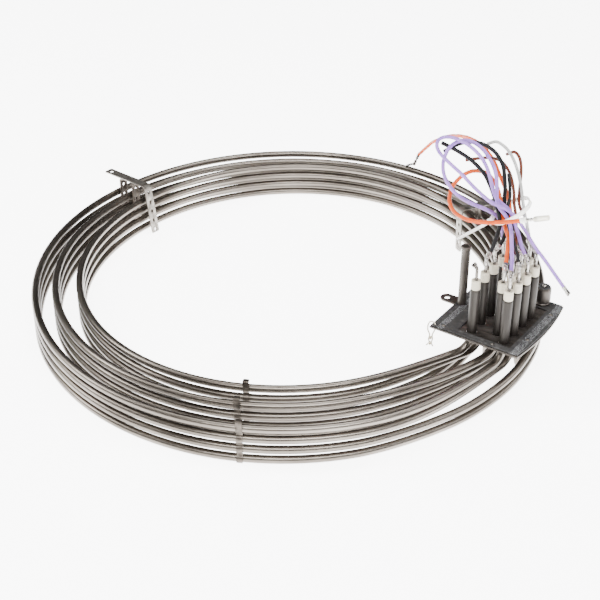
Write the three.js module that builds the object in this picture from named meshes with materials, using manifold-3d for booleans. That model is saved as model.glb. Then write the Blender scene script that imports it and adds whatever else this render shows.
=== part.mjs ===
// Circular sheathed heating element for a forced-air oven: three nested groups of coiled
// tube, each made of two elements wound together, whose twelve cold ends rise through one
// mounting flange and carry ceramic beads, terminals and lead wires.
// Millimetres, +Z up. The origin is the middle of the box's bottom face, under the rings.
import * as THREE from "three";
import { mergeVertices } from "three/addons/utils/BufferGeometryUtils.js";
import Module from "manifold-3d";

const wasm = await Module();
wasm.setup();

// Driving dimensions of the coils.
const tubeRadius = 4.25;
const tubeSides = 8;
const layerPitch = 12.2;
const ringSegments = 26; // per turn, away from the flange
const passSpan = 22; // degrees before the flange where a through tube starts to change layer
const passFront = 42; // degrees past it where the tube is back on the ring
const legSpan = 38; // degrees each side of the flange where the cold ends leave the ring
const bendRadius = 18;

// Each group's ring is an ellipse a little longer front to back than side to side, slightly
// skewed, as wound by hand round a former. "row" and "legs" place its cold ends on the flange,
// "aim" turns their bends towards the ring, and "bow", "swell" and "flat" shape its pass under
// the flange: how far the crest stands out, and the reach of the curve before and after it.
const groups = [
  {
    name: "outer", a: 293.5, b: 313.1, skew: 1.8, x: -0.1, y: -6.4,
    row: 297.5, aim: 8, bow: 9.2, swell: 1.4, flat: 0.8,
  },
  {
    name: "middle", a: 271, b: 282.4, skew: 2.8, x: -0.8, y: 0.3,
    row: 285, aim: 12, bow: 0, swell: 1.02, flat: 1.02,
  },
  {
    name: "inner", a: 246.9, b: 259.2, skew: 3.9, x: 2.1, y: 6.8,
    row: 260, aim: 24, bow: 0, swell: 1.02, flat: 1.02,
  },
];
const legPlaces = { outer: [-33, -13, 7, 27], middle: [-22, -2, 18, 38], inner: [-33, -13, 7, 27] };
// The clips and ears stand proud unevenly, so the rings sit this far off the box's middle.
const ringShift = { x: -0.8, y: 6.9 };

// The flange lies across one radius of the rings: "out" is radial, "along" is tangential.
const flangeAngle = THREE.MathUtils.degToRad(-35);
const plateTop = 62;
const plateThickness = 2;
const gap = 0.3;
const plate = { inner: 219, arc: 326, front: -51, back: 66 };
const gasketWindow = { inner: 248, outer: 309, front: -42, back: 47 };
const gasketThickness = 1.5;

// Cold ends, beads and terminals.
const sleeveRadius = 5.2;
const sleeveTop = plateTop + 51;
const bead = { radius: 4.9, bore: 2.2, height: 11 };
const pinRadius = 1.6;
const blade = { width: 5, thickness: 1.2, height: 10 };

// ---------------------------------------------------------------- solids

// A closed geometry as a manifold solid, and back.
function solid(geometry) {
  const g = geometry.clone();
  g.deleteAttribute("normal");
  g.deleteAttribute("uv");
  const merged = mergeVertices(g, 1e-4);
  return new wasm.Manifold(
    new wasm.Mesh({
      numProp: 3,
      vertProperties: merged.attributes.position.array,
      triVerts: new Uint32Array(merged.index.array),
    }),
  );
}

function geometryOf(made) {
  const mesh = made.getMesh();
  const g = new THREE.BufferGeometry();
  g.setAttribute("position", new THREE.BufferAttribute(mesh.vertProperties, 3));
  g.setIndex(new THREE.BufferAttribute(mesh.triVerts, 1));
  const flat = g.toNonIndexed();
  flat.computeVertexNormals();
  return flat;
}

function joined(geometries) {
  return geometryOf(geometries.map(solid).reduce((a, b) => a.add(b)));
}

function cut(geometry, holes) {
  return geometryOf(holes.map(solid).reduce((a, b) => a.subtract(b), solid(geometry)));
}

// A path whose stations are the given points, so that sections stand where the shape needs them.
class StationPath extends THREE.Curve {
  constructor(points) {
    super();
    this.points = points;
  }
  getPointAt(u, target = new THREE.Vector3()) {
    const last = this.points.length - 1;
    return target.copy(this.points[Math.round(u * last)]);
  }
  getTangentAt(u, target = new THREE.Vector3()) {
    const last = this.points.length - 1;
    const i = Math.round(u * last);
    const before = this.points[Math.max(i - 1, 0)];
    const after = this.points[Math.min(i + 1, last)];
    return target.subVectors(after, before).normalize();
  }
}

function roundSection(radius, sides) {
  const shape = new THREE.Shape();
  for (let i = 0; i < sides; i++) {
    const angle = ((i + 0.5) / sides) * 2 * Math.PI;
    const point = [radius * Math.cos(angle), radius * Math.sin(angle)];
    if (i) shape.lineTo(...point);
    else shape.moveTo(...point);
  }
  shape.closePath();
  return shape;
}

function tubeAlong(points, radius, sides) {
  return new THREE.ExtrudeGeometry(roundSection(radius, sides), {
    steps: points.length - 1,
    extrudePath: new StationPath(points),
    curveSegments: 1,
  });
}

// A turned piece: the outline is [radius, height] pairs that close on themselves.
function turned(outline, segments) {
  const points = [...outline, outline[0]].map(([r, z]) => new THREE.Vector2(r, z));
  return new THREE.LatheGeometry(points, segments).rotateX(Math.PI / 2);
}

function upright(radius, bottom, top, segments) {
  const height = top - bottom;
  const g = new THREE.CylinderGeometry(radius, radius, height, segments);
  return g.rotateX(Math.PI / 2).translate(0, 0, bottom + height / 2);
}

function flatPiece(shape, thickness, bottom) {
  const g = new THREE.ExtrudeGeometry(shape, { depth: thickness, bevelEnabled: false, curveSegments: 8 });
  return g.translate(0, 0, bottom);
}

function box(width, depth, height, x, y, z) {
  return new THREE.BoxGeometry(width, depth, height).translate(x, y, z);
}

// ---------------------------------------------------------------- scene

const part = new THREE.Group();
const assembly = new THREE.Group();
assembly.position.set(ringShift.x, ringShift.y, 0);
part.add(assembly);
const flange = new THREE.Group(); // local X is "out", local Y is "along"
flange.rotation.z = flangeAngle;
assembly.add(flange);

const finishes = {
  sheath: { color: 0x8f877e, roughness: 0.35, metalness: 0.9 },
  plate: { color: 0x6b635c, roughness: 0.5, metalness: 0.8 },
  gasket: { color: 0x2b2a29, roughness: 0.8, metalness: 0.1 },
  ceramic: { color: 0xded8c6, roughness: 0.7, metalness: 0 },
  terminal: { color: 0x9a948b, roughness: 0.35, metalness: 0.9 },
  strip: { color: 0xa59d92, roughness: 0.4, metalness: 0.9 },
  seal: { color: 0x1c1b1a, roughness: 0.7, metalness: 0 },
  tie: { color: 0xf1f0ec, roughness: 0.4, metalness: 0 },
  string: { color: 0xdcd3bb, roughness: 0.9, metalness: 0 },
  black: { color: 0x1f201f, roughness: 0.6, metalness: 0 },
  purple: { color: 0xb49ddb, roughness: 0.6, metalness: 0 },
  orange: { color: 0xe3814e, roughness: 0.6, metalness: 0 },
  brown: { color: 0x6d3c2b, roughness: 0.6, metalness: 0 },
  white: { color: 0xd9d9d4, roughness: 0.6, metalness: 0 },
};

function add(name, geometry, finish, parent = assembly) {
  const mesh = new THREE.Mesh(geometry, new THREE.MeshStandardMaterial(finishes[finish]));
  mesh.name = name;
  parent.add(mesh);
  return mesh;
}

// ---------------------------------------------------------------- heating elements

function layerHeight(layer) {
  return tubeRadius + layerPitch * layer;
}

// The point of a group's ring at an angle, and the direction of travel there (clockwise from above).
function ringPoint(group, degrees, z) {
  const t = THREE.MathUtils.degToRad(degrees);
  const x = group.x + group.a * Math.cos(t) + group.skew * Math.sin(t);
  const y = group.y + group.b * Math.sin(t) + group.skew * Math.cos(t);
  return new THREE.Vector3(x, y, z);
}

function ringTravel(group, degrees) {
  const t = THREE.MathUtils.degToRad(degrees);
  const x = group.a * Math.sin(t) - group.skew * Math.cos(t);
  const y = group.skew * Math.sin(t) - group.b * Math.cos(t);
  return new THREE.Vector3(x, y, 0).normalize();
}

function flangePoint(out, along, z) {
  return new THREE.Vector3(out, along, z).applyAxisAngle(new THREE.Vector3(0, 0, 1), flangeAngle);
}

// Clockwise travel where a front leg's bend ends, or a back leg's begins.
function legTravel(group, side) {
  const heading = THREE.MathUtils.degToRad(group.aim);
  return flangePoint(side * Math.sin(heading), -Math.cos(heading), 0);
}

// A smooth bridge between two points with given directions of travel.
function bridge(from, fromTravel, to, toTravel, reach, segments) {
  const curve = new THREE.CubicBezierCurve3(
    from,
    from.clone().addScaledVector(fromTravel, reach),
    to.clone().addScaledVector(toTravel, -reach),
    to,
  );
  return curve.getPoints(segments);
}

// A leg from above the flange down into a quarter bend, as points that end heading along the travel.
function legDown(out, along, z, side, aim) {
  const points = [flangePoint(out, along, sleeveTop - 1), flangePoint(out, along, z + bendRadius)];
  const heading = THREE.MathUtils.degToRad(aim);
  for (let i = 1; i <= 4; i++) {
    const turn = (i * Math.PI) / 8;
    const reach = bendRadius * (1 - Math.cos(turn));
    const across = out - reach * Math.sin(heading);
    const forward = along + side * reach * Math.cos(heading);
    points.push(flangePoint(across, forward, z + bendRadius * (1 - Math.sin(turn))));
  }
  return points;
}

function ringRun(group, fromDegrees, toDegrees, z) {
  const points = [];
  for (let i = 0; i <= ringSegments; i++) {
    points.push(ringPoint(group, THREE.MathUtils.lerp(fromDegrees, toDegrees, i / ringSegments), z));
  }
  return points;
}

// The pass under the flange: out to a crest beside the legs, back to the ring by a flatter curve,
// and down from one layer to another, evenly about the crest.
function throughPass(group, high, low) {
  const middle = THREE.MathUtils.radToDeg(flangeAngle);
  const ends = [middle + passSpan, middle, middle - passFront];
  const [back, crest, front] = ends.map((degrees) => ringPoint(group, degrees, 0));
  const [backTravel, crestTravel, frontTravel] = ends.map((degrees) => ringTravel(group, degrees));
  crest.addScaledVector(new THREE.Vector3(-crestTravel.y, crestTravel.x, 0), group.bow);
  const backReach = (back.distanceTo(crest) / 3) * group.swell;
  const frontReach = (crest.distanceTo(front) / 3) * group.flat;
  const points = [
    ...bridge(back, backTravel, crest, crestTravel, backReach, 8),
    ...bridge(crest, crestTravel, front, frontTravel, frontReach, 12).slice(1),
  ];
  const fall = 2 * back.distanceTo(crest);
  let run = 0;
  points.forEach((point, i) => {
    run += i ? Math.hypot(point.x - points[i - 1].x, point.y - points[i - 1].y) : 0;
    point.z = THREE.MathUtils.lerp(high, low, THREE.MathUtils.smoothstep(run, 0.04 * fall, 0.96 * fall));
  });
  return points.slice(1, -1);
}

// Two turns: down a front leg, round at the upper layer, under the flange to the lower layer,
// round again, and up a back leg.
function elementPath(group, frontLeg, backLeg, upper, lower) {
  const middle = THREE.MathUtils.radToDeg(flangeAngle);
  const start = middle - legSpan;
  const end = middle - 360 + legSpan;
  const high = layerHeight(upper);
  const low = layerHeight(lower);
  const down = legDown(group.row, legPlaces[group.name][frontLeg], high, -1, group.aim);
  const up = legDown(group.row, legPlaces[group.name][backLeg], low, 1, group.aim).reverse();
  const firstIn = ringPoint(group, start, high);
  const lastOut = ringPoint(group, end, low);
  const inReach = down.at(-1).distanceTo(firstIn) / 3;
  const outReach = up[0].distanceTo(lastOut) / 3;
  const travelStart = ringTravel(group, start);
  const travelEnd = ringTravel(group, end);
  return [
    ...down,
    ...bridge(down.at(-1), legTravel(group, -1), firstIn, travelStart, inReach, 6).slice(1, -1),
    ...ringRun(group, start, middle - 360 + passSpan, high),
    ...throughPass(group, high, low),
    ...ringRun(group, middle - passFront, end, low),
    ...bridge(lastOut, travelEnd, up[0], legTravel(group, 1), outReach, 6).slice(1, -1),
    ...up,
  ];
}

function element(group, frontLeg, backLeg, upper, lower) {
  const tube = tubeAlong(elementPath(group, frontLeg, backLeg, upper, lower), tubeRadius, tubeSides);
  const sleeves = [frontLeg, backLeg].map((leg) => {
    const place = flangePoint(group.row, legPlaces[group.name][leg], 0);
    return upright(sleeveRadius, plateTop - 5, sleeveTop, 10).translate(place.x, place.y, 0);
  });
  return joined([tube, ...sleeves]);
}

for (const group of groups) {
  add(`element_${group.name}_upper`, element(group, 0, 3, 3, 1), "sheath");
  add(`element_${group.name}_lower`, element(group, 1, 2, 2, 0), "sheath");
}

// ---------------------------------------------------------------- flange

function flangeOutline(inset) {
  const { inner, arc, front, back } = plate;
  const radius = arc - inset;
  const frontAngle = Math.asin((front + inset) / radius);
  const backAngle = Math.asin((back - inset) / radius);
  const shape = new THREE.Shape();
  shape.moveTo(inner + inset, front + inset);
  shape.lineTo(radius * Math.cos(frontAngle), front + inset);
  shape.absarc(0, 0, radius, frontAngle, backAngle, false);
  shape.lineTo(inner + inset, back - inset);
  shape.closePath();
  return shape;
}

const earHole = { out: 205.5, along: 11.5, radius: 3.2, width: 15 };
const post = { out: 226, along: 7, radius: 4.7, bore: 3.6, top: plateTop + 73, collar: 5.6 };
const gland = { out: 297.5, along: 58, radius: 8.3, top: plateTop + 22.5 };
const stringHole = { out: 223.5, along: -46.5, radius: 1.8 };
const rivets = [
  [232, -44],
  [291, -46],
  [317, -18],
  [316, 40],
];

function legHoles(radius, bottom, top) {
  return groups.flatMap((group) =>
    legPlaces[group.name].map((along) => upright(radius, bottom, top, 12).translate(group.row, along, 0)),
  );
}

function plateGeometry() {
  const bottom = plateTop - plateThickness;
  const ear = new THREE.Shape();
  ear.moveTo(plate.inner + 2, earHole.along - earHole.width / 2);
  ear.lineTo(plate.inner + 2, earHole.along + earHole.width / 2);
  ear.lineTo(earHole.out, earHole.along + earHole.width / 2);
  ear.absarc(earHole.out, earHole.along, earHole.width / 2, Math.PI / 2, (3 * Math.PI) / 2, false);
  const body = joined([
    flatPiece(flangeOutline(0), plateThickness, bottom),
    flatPiece(ear, plateThickness, bottom),
  ]);
  return cut(body, [
    ...legHoles(sleeveRadius + gap, bottom - 1, plateTop + 1),
    upright(earHole.radius, bottom - 1, plateTop + 1, 12).translate(earHole.out, earHole.along, 0),
    upright(stringHole.radius, bottom - 1, plateTop + 1, 8).translate(stringHole.out, stringHole.along, 0),
  ]);
}

function gasketGeometry() {
  const bottom = plateTop + gap;
  const shape = flangeOutline(1.2);
  const opening = new THREE.Path();
  opening.moveTo(gasketWindow.inner, gasketWindow.front);
  opening.lineTo(gasketWindow.inner, gasketWindow.back);
  opening.lineTo(gasketWindow.outer, gasketWindow.back);
  opening.lineTo(gasketWindow.outer, gasketWindow.front);
  opening.closePath();
  shape.holes.push(opening);
  const top = bottom + gasketThickness;
  return cut(flatPiece(shape, gasketThickness, bottom), [
    upright(post.radius + gap, bottom - 1, top + 1, 12).translate(post.out, post.along, 0),
    upright(gland.radius + gap, bottom - 1, top + 1, 16).translate(gland.out, gland.along, 0),
    upright(stringHole.radius, bottom - 1, top + 1, 8).translate(stringHole.out, stringHole.along, 0),
    ...rivets.map(([out, along]) => upright(1.6, bottom - 1, top + 1, 8).translate(out, along, 0)),
  ]);
}

add("flange_plate", plateGeometry(), "plate", flange);
add("flange_gasket", gasketGeometry(), "gasket", flange);

// ---------------------------------------------------------------- beads and terminals

function beadGeometry() {
  const outline = [
    [bead.bore, 0],
    [bead.radius, 0],
    [bead.radius, bead.height],
    [bead.bore, bead.height],
  ];
  return turned(outline, 10).translate(0, 0, sleeveTop + gap);
}

const bladeBottom = sleeveTop + gap + bead.height + 3;
const bladeTop = bladeBottom + blade.height;

function terminalGeometry() {
  return joined([
    upright(pinRadius, sleeveTop + gap, bladeBottom + 1, 8),
    box(blade.width, blade.thickness, blade.height, 0, 0, bladeBottom + blade.height / 2),
  ]);
}

for (const group of groups) {
  legPlaces[group.name].forEach((along, i) => {
    const name = `${group.name}_${i + 1}`;
    add(`bead_${name}`, beadGeometry(), "ceramic", flange).position.set(group.row, along, 0);
    add(`terminal_${name}`, terminalGeometry(), "terminal", flange).position.set(group.row, along, 0);
  });
}

// ---------------------------------------------------------------- sensor pocket and gland

function pocketGeometry() {
  const bottom = plateTop + gap;
  const outline = [
    [0, bottom],
    [post.radius, bottom],
    [post.radius, post.top - 4],
    [post.collar, post.top - 3],
    [post.collar, post.top],
    [post.bore, post.top],
    [post.bore, bottom + 4],
    [0, bottom + 4],
  ];
  const points = outline.map(([r, z]) => new THREE.Vector2(r, z));
  return new THREE.LatheGeometry(points, 12).rotateX(Math.PI / 2);
}

add("sensor_pocket", pocketGeometry(), "sheath", flange).position.set(post.out, post.along, 0);

const sealRing = { inner: 2.6, outer: 7, height: 3 };

function glandGeometry() {
  const bottom = plateTop + gap;
  const outline = [
    [2.6, bottom],
    [gland.radius, bottom],
    [gland.radius, gland.top - 1.5],
    [gland.radius - 1.5, gland.top],
    [sealRing.outer + gap, gland.top],
    [sealRing.outer + gap, gland.top - 3],
    [2.6, gland.top - 3],
  ];
  return turned(outline, 16);
}

function glandSealGeometry() {
  const bottom = gland.top - sealRing.height + gap;
  const outline = [
    [sealRing.inner, bottom],
    [sealRing.outer, bottom],
    [sealRing.outer, bottom + sealRing.height],
    [sealRing.inner, bottom + sealRing.height],
  ];
  return turned(outline, 12);
}

const glandParts = new THREE.Group();
glandParts.position.set(gland.out, gland.along, 0);
flange.add(glandParts);
add("gland_body", glandGeometry(), "plate", glandParts);
add("gland_seal", glandSealGeometry(), "seal", glandParts);
add("gland_pin", upright(2.1, plateTop + gap, gland.top + 2.5, 10), "terminal", glandParts);

// ---------------------------------------------------------------- brackets

// Each bracket is a bar laid across the groups, folded down at its inner end, with two
// more strips hanging from it between the groups. The bar's outer end has a fixing hole.
const strip = { width: 12, thickness: 1.5, holePitch: 12.7, holeRadius: 1.7, fixing: 2.6 };
const bracketCentre = { x: 2.1, y: 9.3 };
const brackets = [
  { name: "left", angle: 140.6, top: 64, inner: 240, outer: 313, foot: 229.5, hangers: [263.5, 285.8] },
  { name: "right", angle: 24.6, top: 60, inner: 231, outer: 304, foot: 232.5, hangers: [259, 278] },
];

// An outline in the plane of radius and height, given the strip's width across that plane.
function acrossRadius(points, width) {
  const shape = new THREE.Shape(points.map(([r, z]) => new THREE.Vector2(r, z)));
  const g = new THREE.ExtrudeGeometry(shape, { depth: width, bevelEnabled: false });
  return g.translate(0, 0, -width / 2).rotateX(Math.PI / 2);
}

function stripHole(radius, from, height) {
  const g = new THREE.CylinderGeometry(radius, radius, 30, 8);
  return g.rotateZ(Math.PI / 2).translate(from, 0, height);
}

function barGeometry({ top, inner, outer, foot }) {
  const t = strip.thickness;
  const outline = [
    [outer, top],
    [inner, top],
    [foot, 0],
    [foot + t, 0],
    [inner + t, top - t],
    [outer, top - t],
  ];
  const holes = [0, 1, 2, 3, 4].map((i) => {
    const height = top - 8 - i * strip.holePitch;
    const lean = foot + ((inner - foot) * height) / top;
    return stripHole(strip.holeRadius, lean, height);
  });
  const fixing = upright(strip.fixing, top - 9, top + 9, 10).translate(outer - 7, 0, 0);
  return cut(acrossRadius(outline, strip.width), [...holes, fixing]);
}

function hangerGeometry({ top }, radius) {
  const t = strip.thickness;
  const high = top - t - gap;
  const outline = [
    [radius - 7, high],
    [radius - 7, high - t],
    [radius - t, high - t],
    [radius - t, 2],
    [radius, 2],
    [radius, high],
  ];
  const steps = [0, 1, 2, 3];
  const holes = steps.map((i) => stripHole(strip.holeRadius, radius, high - 10 - i * strip.holePitch));
  return cut(acrossRadius(outline, strip.width), holes);
}

for (const bracket of brackets) {
  const holder = new THREE.Group();
  holder.position.set(bracketCentre.x, bracketCentre.y, 0);
  holder.rotation.z = THREE.MathUtils.degToRad(bracket.angle);
  assembly.add(holder);
  add(`${bracket.name}_bracket_bar`, barGeometry(bracket), "strip", holder);
  add(`${bracket.name}_bracket_hanger_1`, hangerGeometry(bracket, bracket.hangers[0]), "strip", holder);
  add(`${bracket.name}_bracket_hanger_2`, hangerGeometry(bracket, bracket.hangers[1]), "strip", holder);
}

// ---------------------------------------------------------------- front clips

// A strip pressed against the outside of each group, in a round bay over every tube,
// with a hook that stands above the top one.
const clip = { width: 6.5, thickness: 0.9, valley: 2, hook: 5.5, rise: 6.5 };
const bayOffsets = [-5.1, -4, -2, 0, 2, 4, 5.1];
const clipAngles = { outer: -98.6, middle: -99.7, inner: -99.2 };

function clipGeometry() {
  const t = clip.thickness;
  const face = tubeRadius + gap + t;
  const highest = layerHeight(3);
  const outside = [0, 1, 2, 3]
    .flatMap((layer) => bayOffsets.map((offset) => [offset, layerHeight(layer) + offset]))
    .filter(([, z]) => z > 0.5 && z <= highest)
    .map(([offset, z]) => [Math.sqrt(Math.max(face ** 2 - offset ** 2, clip.valley ** 2)), z]);
  const hookTop = highest + tubeRadius + clip.rise;
  outside.push([face, hookTop], [face - clip.hook, hookTop]);
  const inside = [[face - clip.hook, hookTop - t], [face - t, hookTop - t]];
  const back = outside.slice(0, -2).reverse().map(([r, z]) => [r - t, z]);
  return acrossRadius([...outside, ...inside, ...back], clip.width);
}

for (const group of groups) {
  const place = ringPoint(group, clipAngles[group.name], 0);
  const travel = ringTravel(group, clipAngles[group.name]);
  const mesh = add(`${group.name}_clip`, clipGeometry(), "strip");
  mesh.position.copy(place);
  mesh.rotation.z = Math.atan2(travel.x, -travel.y);
}

// ---------------------------------------------------------------- leads

// Silicone-covered leads run from the terminals up through one cable tie, loop, and end free or
// in a connector. Each route is a list of points laid by hand, in the part's own frame.
const leads = [
  {
    name: "lead_black_1",
    finish: "black",
    diameter: 4.3,
    points: [
      [204.5, -153, 139.5], [209.5, -146, 144], [213, -141, 150], [216.5, -136.5, 159.5],
      [219, -132, 169], [218, -127.5, 176.5], [216, -122.5, 184.5], [212.5, -116, 194.5],
      [208.5, -110, 203.5], [204, -104.5, 211.5], [197.5, -99, 218], [189.5, -93.5, 224],
      [180.5, -88, 228.5], [170.5, -82.5, 232.5], [160, -77, 236],
    ],
  },
  {
    name: "lead_black_2",
    finish: "black",
    diameter: 4.3,
    points: [
      [216, -136.5, 139.5], [221.5, -131, 144.5], [225.5, -127, 150.5], [227, -124, 158.5],
      [226.5, -121, 167.5], [225, -117, 178], [224.5, -113, 188.5], [225, -108.5, 199.5],
      [224, -104.5, 210], [222.5, -100, 219.5], [218.5, -96, 227], [213.5, -91.5, 232.5],
      [206.5, -87.5, 236.5], [198.5, -83.5, 238.5], [190, -80, 238], [181.5, -76.5, 235.5],
      [173, -74, 230.5], [164, -71, 223],
    ],
  },
  {
    name: "lead_black_3",
    finish: "black",
    diameter: 3.4,
    points: [
      [235.5, -174.5, 139.5], [235.5, -167, 142], [235.5, -161, 145], [235, -156, 149],
      [233, -150.5, 154], [231, -145.5, 160], [228.5, -140, 165.5], [227, -134, 170.5],
      [226.5, -128.5, 175], [227, -123.5, 179.5], [228, -118.5, 185.5], [230, -114, 191.5],
      [230, -109.5, 197.5], [229.5, -105, 204], [228.5, -100, 211.5],
    ],
  },
  {
    name: "lead_purple_1",
    finish: "purple",
    diameter: 3.9,
    points: [
      [224, -191, 139.5], [226, -181.5, 142.5], [227.5, -172.5, 148], [228, -162.5, 155.5],
      [228.5, -152.5, 162.5], [228.5, -143, 170], [226.5, -136.5, 175.5], [223, -133, 180.5],
      [219.5, -131.5, 184.5], [216.5, -130.5, 188.5], [214.5, -130, 193], [213.5, -128, 200],
      [213.5, -124.5, 208.5], [213, -119, 217], [210.5, -112.5, 225], [206, -106.5, 232.5],
      [200.5, -100.5, 238.5], [194, -95.5, 242.5], [187, -91.5, 244.5], [179.5, -89, 244],
      [172.5, -87.5, 240.5], [167, -87.5, 235], [163, -89.5, 227.5], [161, -92, 219.5],
      [161.5, -95.5, 211], [164.5, -99.5, 203.5], [169.5, -104, 196.5], [176.5, -109, 191],
      [185, -113, 186.5], [195, -116.5, 183], [205, -118.5, 179.5], [213.5, -119.5, 175],
      [219, -120, 170], [222.5, -119.5, 162], [225, -119.5, 151.5], [227.5, -120, 139.5],
    ],
  },
  {
    name: "lead_purple_2",
    finish: "purple",
    diameter: 3.9,
    points: [
      [247, -158, 139.5], [244, -150, 144], [241, -144.5, 150.5], [238, -139, 160],
      [234, -134, 170.5], [230, -128.5, 180], [225, -126, 185.5], [218.5, -124.5, 190.5],
      [213.5, -123.5, 196], [210, -121, 205], [207, -117.5, 215.5], [203.5, -113, 224.5],
      [198.5, -108, 232.5], [192, -103, 238.5], [184.5, -97.5, 243], [175.5, -93, 246.5],
      [167, -90, 248], [160, -89, 247.5], [155, -90, 245], [153, -94, 241],
      [155, -99, 236], [160.5, -105.5, 231.5], [168.5, -112.5, 226], [177, -119.5, 220.5],
      [185, -126.5, 214], [192.5, -132, 208], [200.5, -136, 202], [207.5, -137.5, 197],
      [215.5, -136, 192.5], [224, -133.5, 187], [230.5, -134, 182], [236.5, -136.5, 176],
      [242.5, -142, 168.5], [248.5, -149, 160.5], [254.5, -156, 153], [261, -161.5, 146],
      [268, -166, 137.5], [275, -170, 128.5], [282.5, -174, 119],
    ],
  },
  {
    name: "lead_orange_1",
    finish: "orange",
    diameter: 4.3,
    points: [
      [220, -174.5, 139.5], [223, -164, 142.5], [225, -155, 147], [226.5, -146, 153.5],
      [228, -137, 161], [229, -129, 169], [230.5, -120.5, 177.5], [230, -113, 184],
      [229, -104, 189], [227, -93.5, 193.5], [224.5, -82, 197.5], [222.5, -70.5, 200.5],
      [221, -59, 203], [219, -47.5, 204.5], [217, -36, 204.5], [215, -24.5, 204],
      [213, -12.5, 202.5], [211, -0.5, 200], [209, 11.5, 197.5], [207, 23.5, 194],
      [205, 35, 190.5], [203, 47, 186.5], [201, 58.5, 182], [198.5, 70.5, 177.5],
      [196.5, 81.5, 172.5], [194.5, 93, 167.5], [192.5, 104.5, 162], [191, 115.5, 156.5],
      [189, 127, 150.5], [187, 138, 144.5], [185, 148.5, 138], [183, 159.5, 131.5],
      [181.5, 170.5, 125], [182.5, 194, 113.5], [181, 205.5, 106], [179.5, 216.5, 98],
      [177.5, 227, 90], [175.5, 236.5, 82.5], [173.5, 244.5, 75.5], [171.5, 252, 69.5],
    ],
  },
  {
    name: "lead_orange_2",
    finish: "orange",
    diameter: 4.3,
    points: [
      [243, -142, 139.5], [236, -136.5, 144], [231, -133, 150], [227, -129.5, 159],
      [223.5, -126.5, 169], [221.5, -122, 179], [220, -117, 188.5], [218, -110.5, 196.5],
      [214.5, -104, 203], [210, -98, 207.5], [204.5, -92.5, 209.5], [197.5, -88.5, 209],
      [190.5, -85.5, 206.5], [183.5, -85, 202], [177.5, -86.5, 196.5], [172.5, -90, 191],
      [170, -95.5, 185], [169, -102, 180.5], [170.5, -110, 177], [174, -118.5, 175],
      [179, -127, 175], [185.5, -135, 175.5], [193.5, -142.5, 177.5], [202, -149, 180],
      [211.5, -154.5, 183], [222, -159.5, 186.5], [233, -164.5, 190.5],
    ],
  },
  {
    name: "lead_brown_1",
    finish: "brown",
    diameter: 3.4,
    points: [
      [254.5, -125.5, 139.5], [253, -119, 144.5], [252, -115.5, 150.5], [251, -114, 158],
      [249, -115, 165.5], [245.5, -117, 172.5], [241.5, -118, 179.5], [239.5, -116.5, 186],
      [239.5, -112.5, 194], [240.5, -107, 203], [241.5, -101, 212.5], [241.5, -95, 220],
      [240, -90, 225.5], [236, -84, 228.5], [228.5, -79, 223.5],
    ],
  },
  {
    name: "lead_brown_2",
    finish: "brown",
    diameter: 3.4,
    points: [
      [231.5, -158, 139.5], [234, -149, 143], [235.5, -142.5, 148], [236.5, -136, 156],
      [236.5, -130, 165.5], [236, -124, 175.5], [234.5, -117.5, 184.5], [234.5, -110.5, 193],
      [233.5, -103, 201], [231.5, -95.5, 208], [228, -88.5, 213.5], [223.5, -83, 217],
      [217.5, -78, 218], [209, -73.5, 217], [199.5, -69, 214], [188.5, -64.5, 210],
    ],
  },
  {
    name: "lead_white_1",
    finish: "white",
    diameter: 3.4,
    points: [
      [258.5, -141.5, 139.5], [255, -134.5, 144], [252, -130, 150.5], [250, -126.5, 158.5],
      [247, -124, 169], [244.5, -121.5, 180.5], [242.5, -118.5, 190.5], [241, -114.5, 200],
      [239, -109, 209.5], [236.5, -103.5, 218], [233, -97.5, 226], [228.5, -91.5, 232.5],
      [223.5, -86.5, 236.5], [216, -82.5, 239.5], [207.5, -79, 235.5],
    ],
  },
];

function aimed(geometry, from, direction) {
  const turn = new THREE.Quaternion().setFromUnitVectors(new THREE.Vector3(0, 0, 1), direction);
  return geometry.applyQuaternion(turn).translate(from.x, from.y, from.z);
}

// Sections stand about two diameters apart along a smooth curve through the points.
function routeStations({ points, diameter }) {
  const places = points.map((point) => new THREE.Vector3(...point));
  const curve = new THREE.CatmullRomCurve3(places, false, "centripetal");
  curve.arcLengthDivisions = 1000;
  return curve.getSpacedPoints(Math.round(curve.getLength() / (2 * diameter)));
}

for (const lead of leads) {
  add(lead.name, tubeAlong(routeStations(lead), lead.diameter / 2, 8), lead.finish, part);
}

// Where a lead's connector starts, and the way it points.
function leadEnd(name) {
  const [before, end] = leads
    .find((lead) => lead.name === name)
    .points.slice(-2)
    .map((point) => new THREE.Vector3(...point));
  const direction = new THREE.Vector3().subVectors(end, before).normalize();
  return { start: end.clone().addScaledVector(direction, gap), direction };
}

// A crimped ring lug: a long barrel, and an eye that leans on the outer group's top turn.
const ringLug = { barrel: 2.3, eye: 6.5, hole: 3.2, thickness: 1.2, lean: 25, reach: 9, clear: 1.2 };

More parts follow.
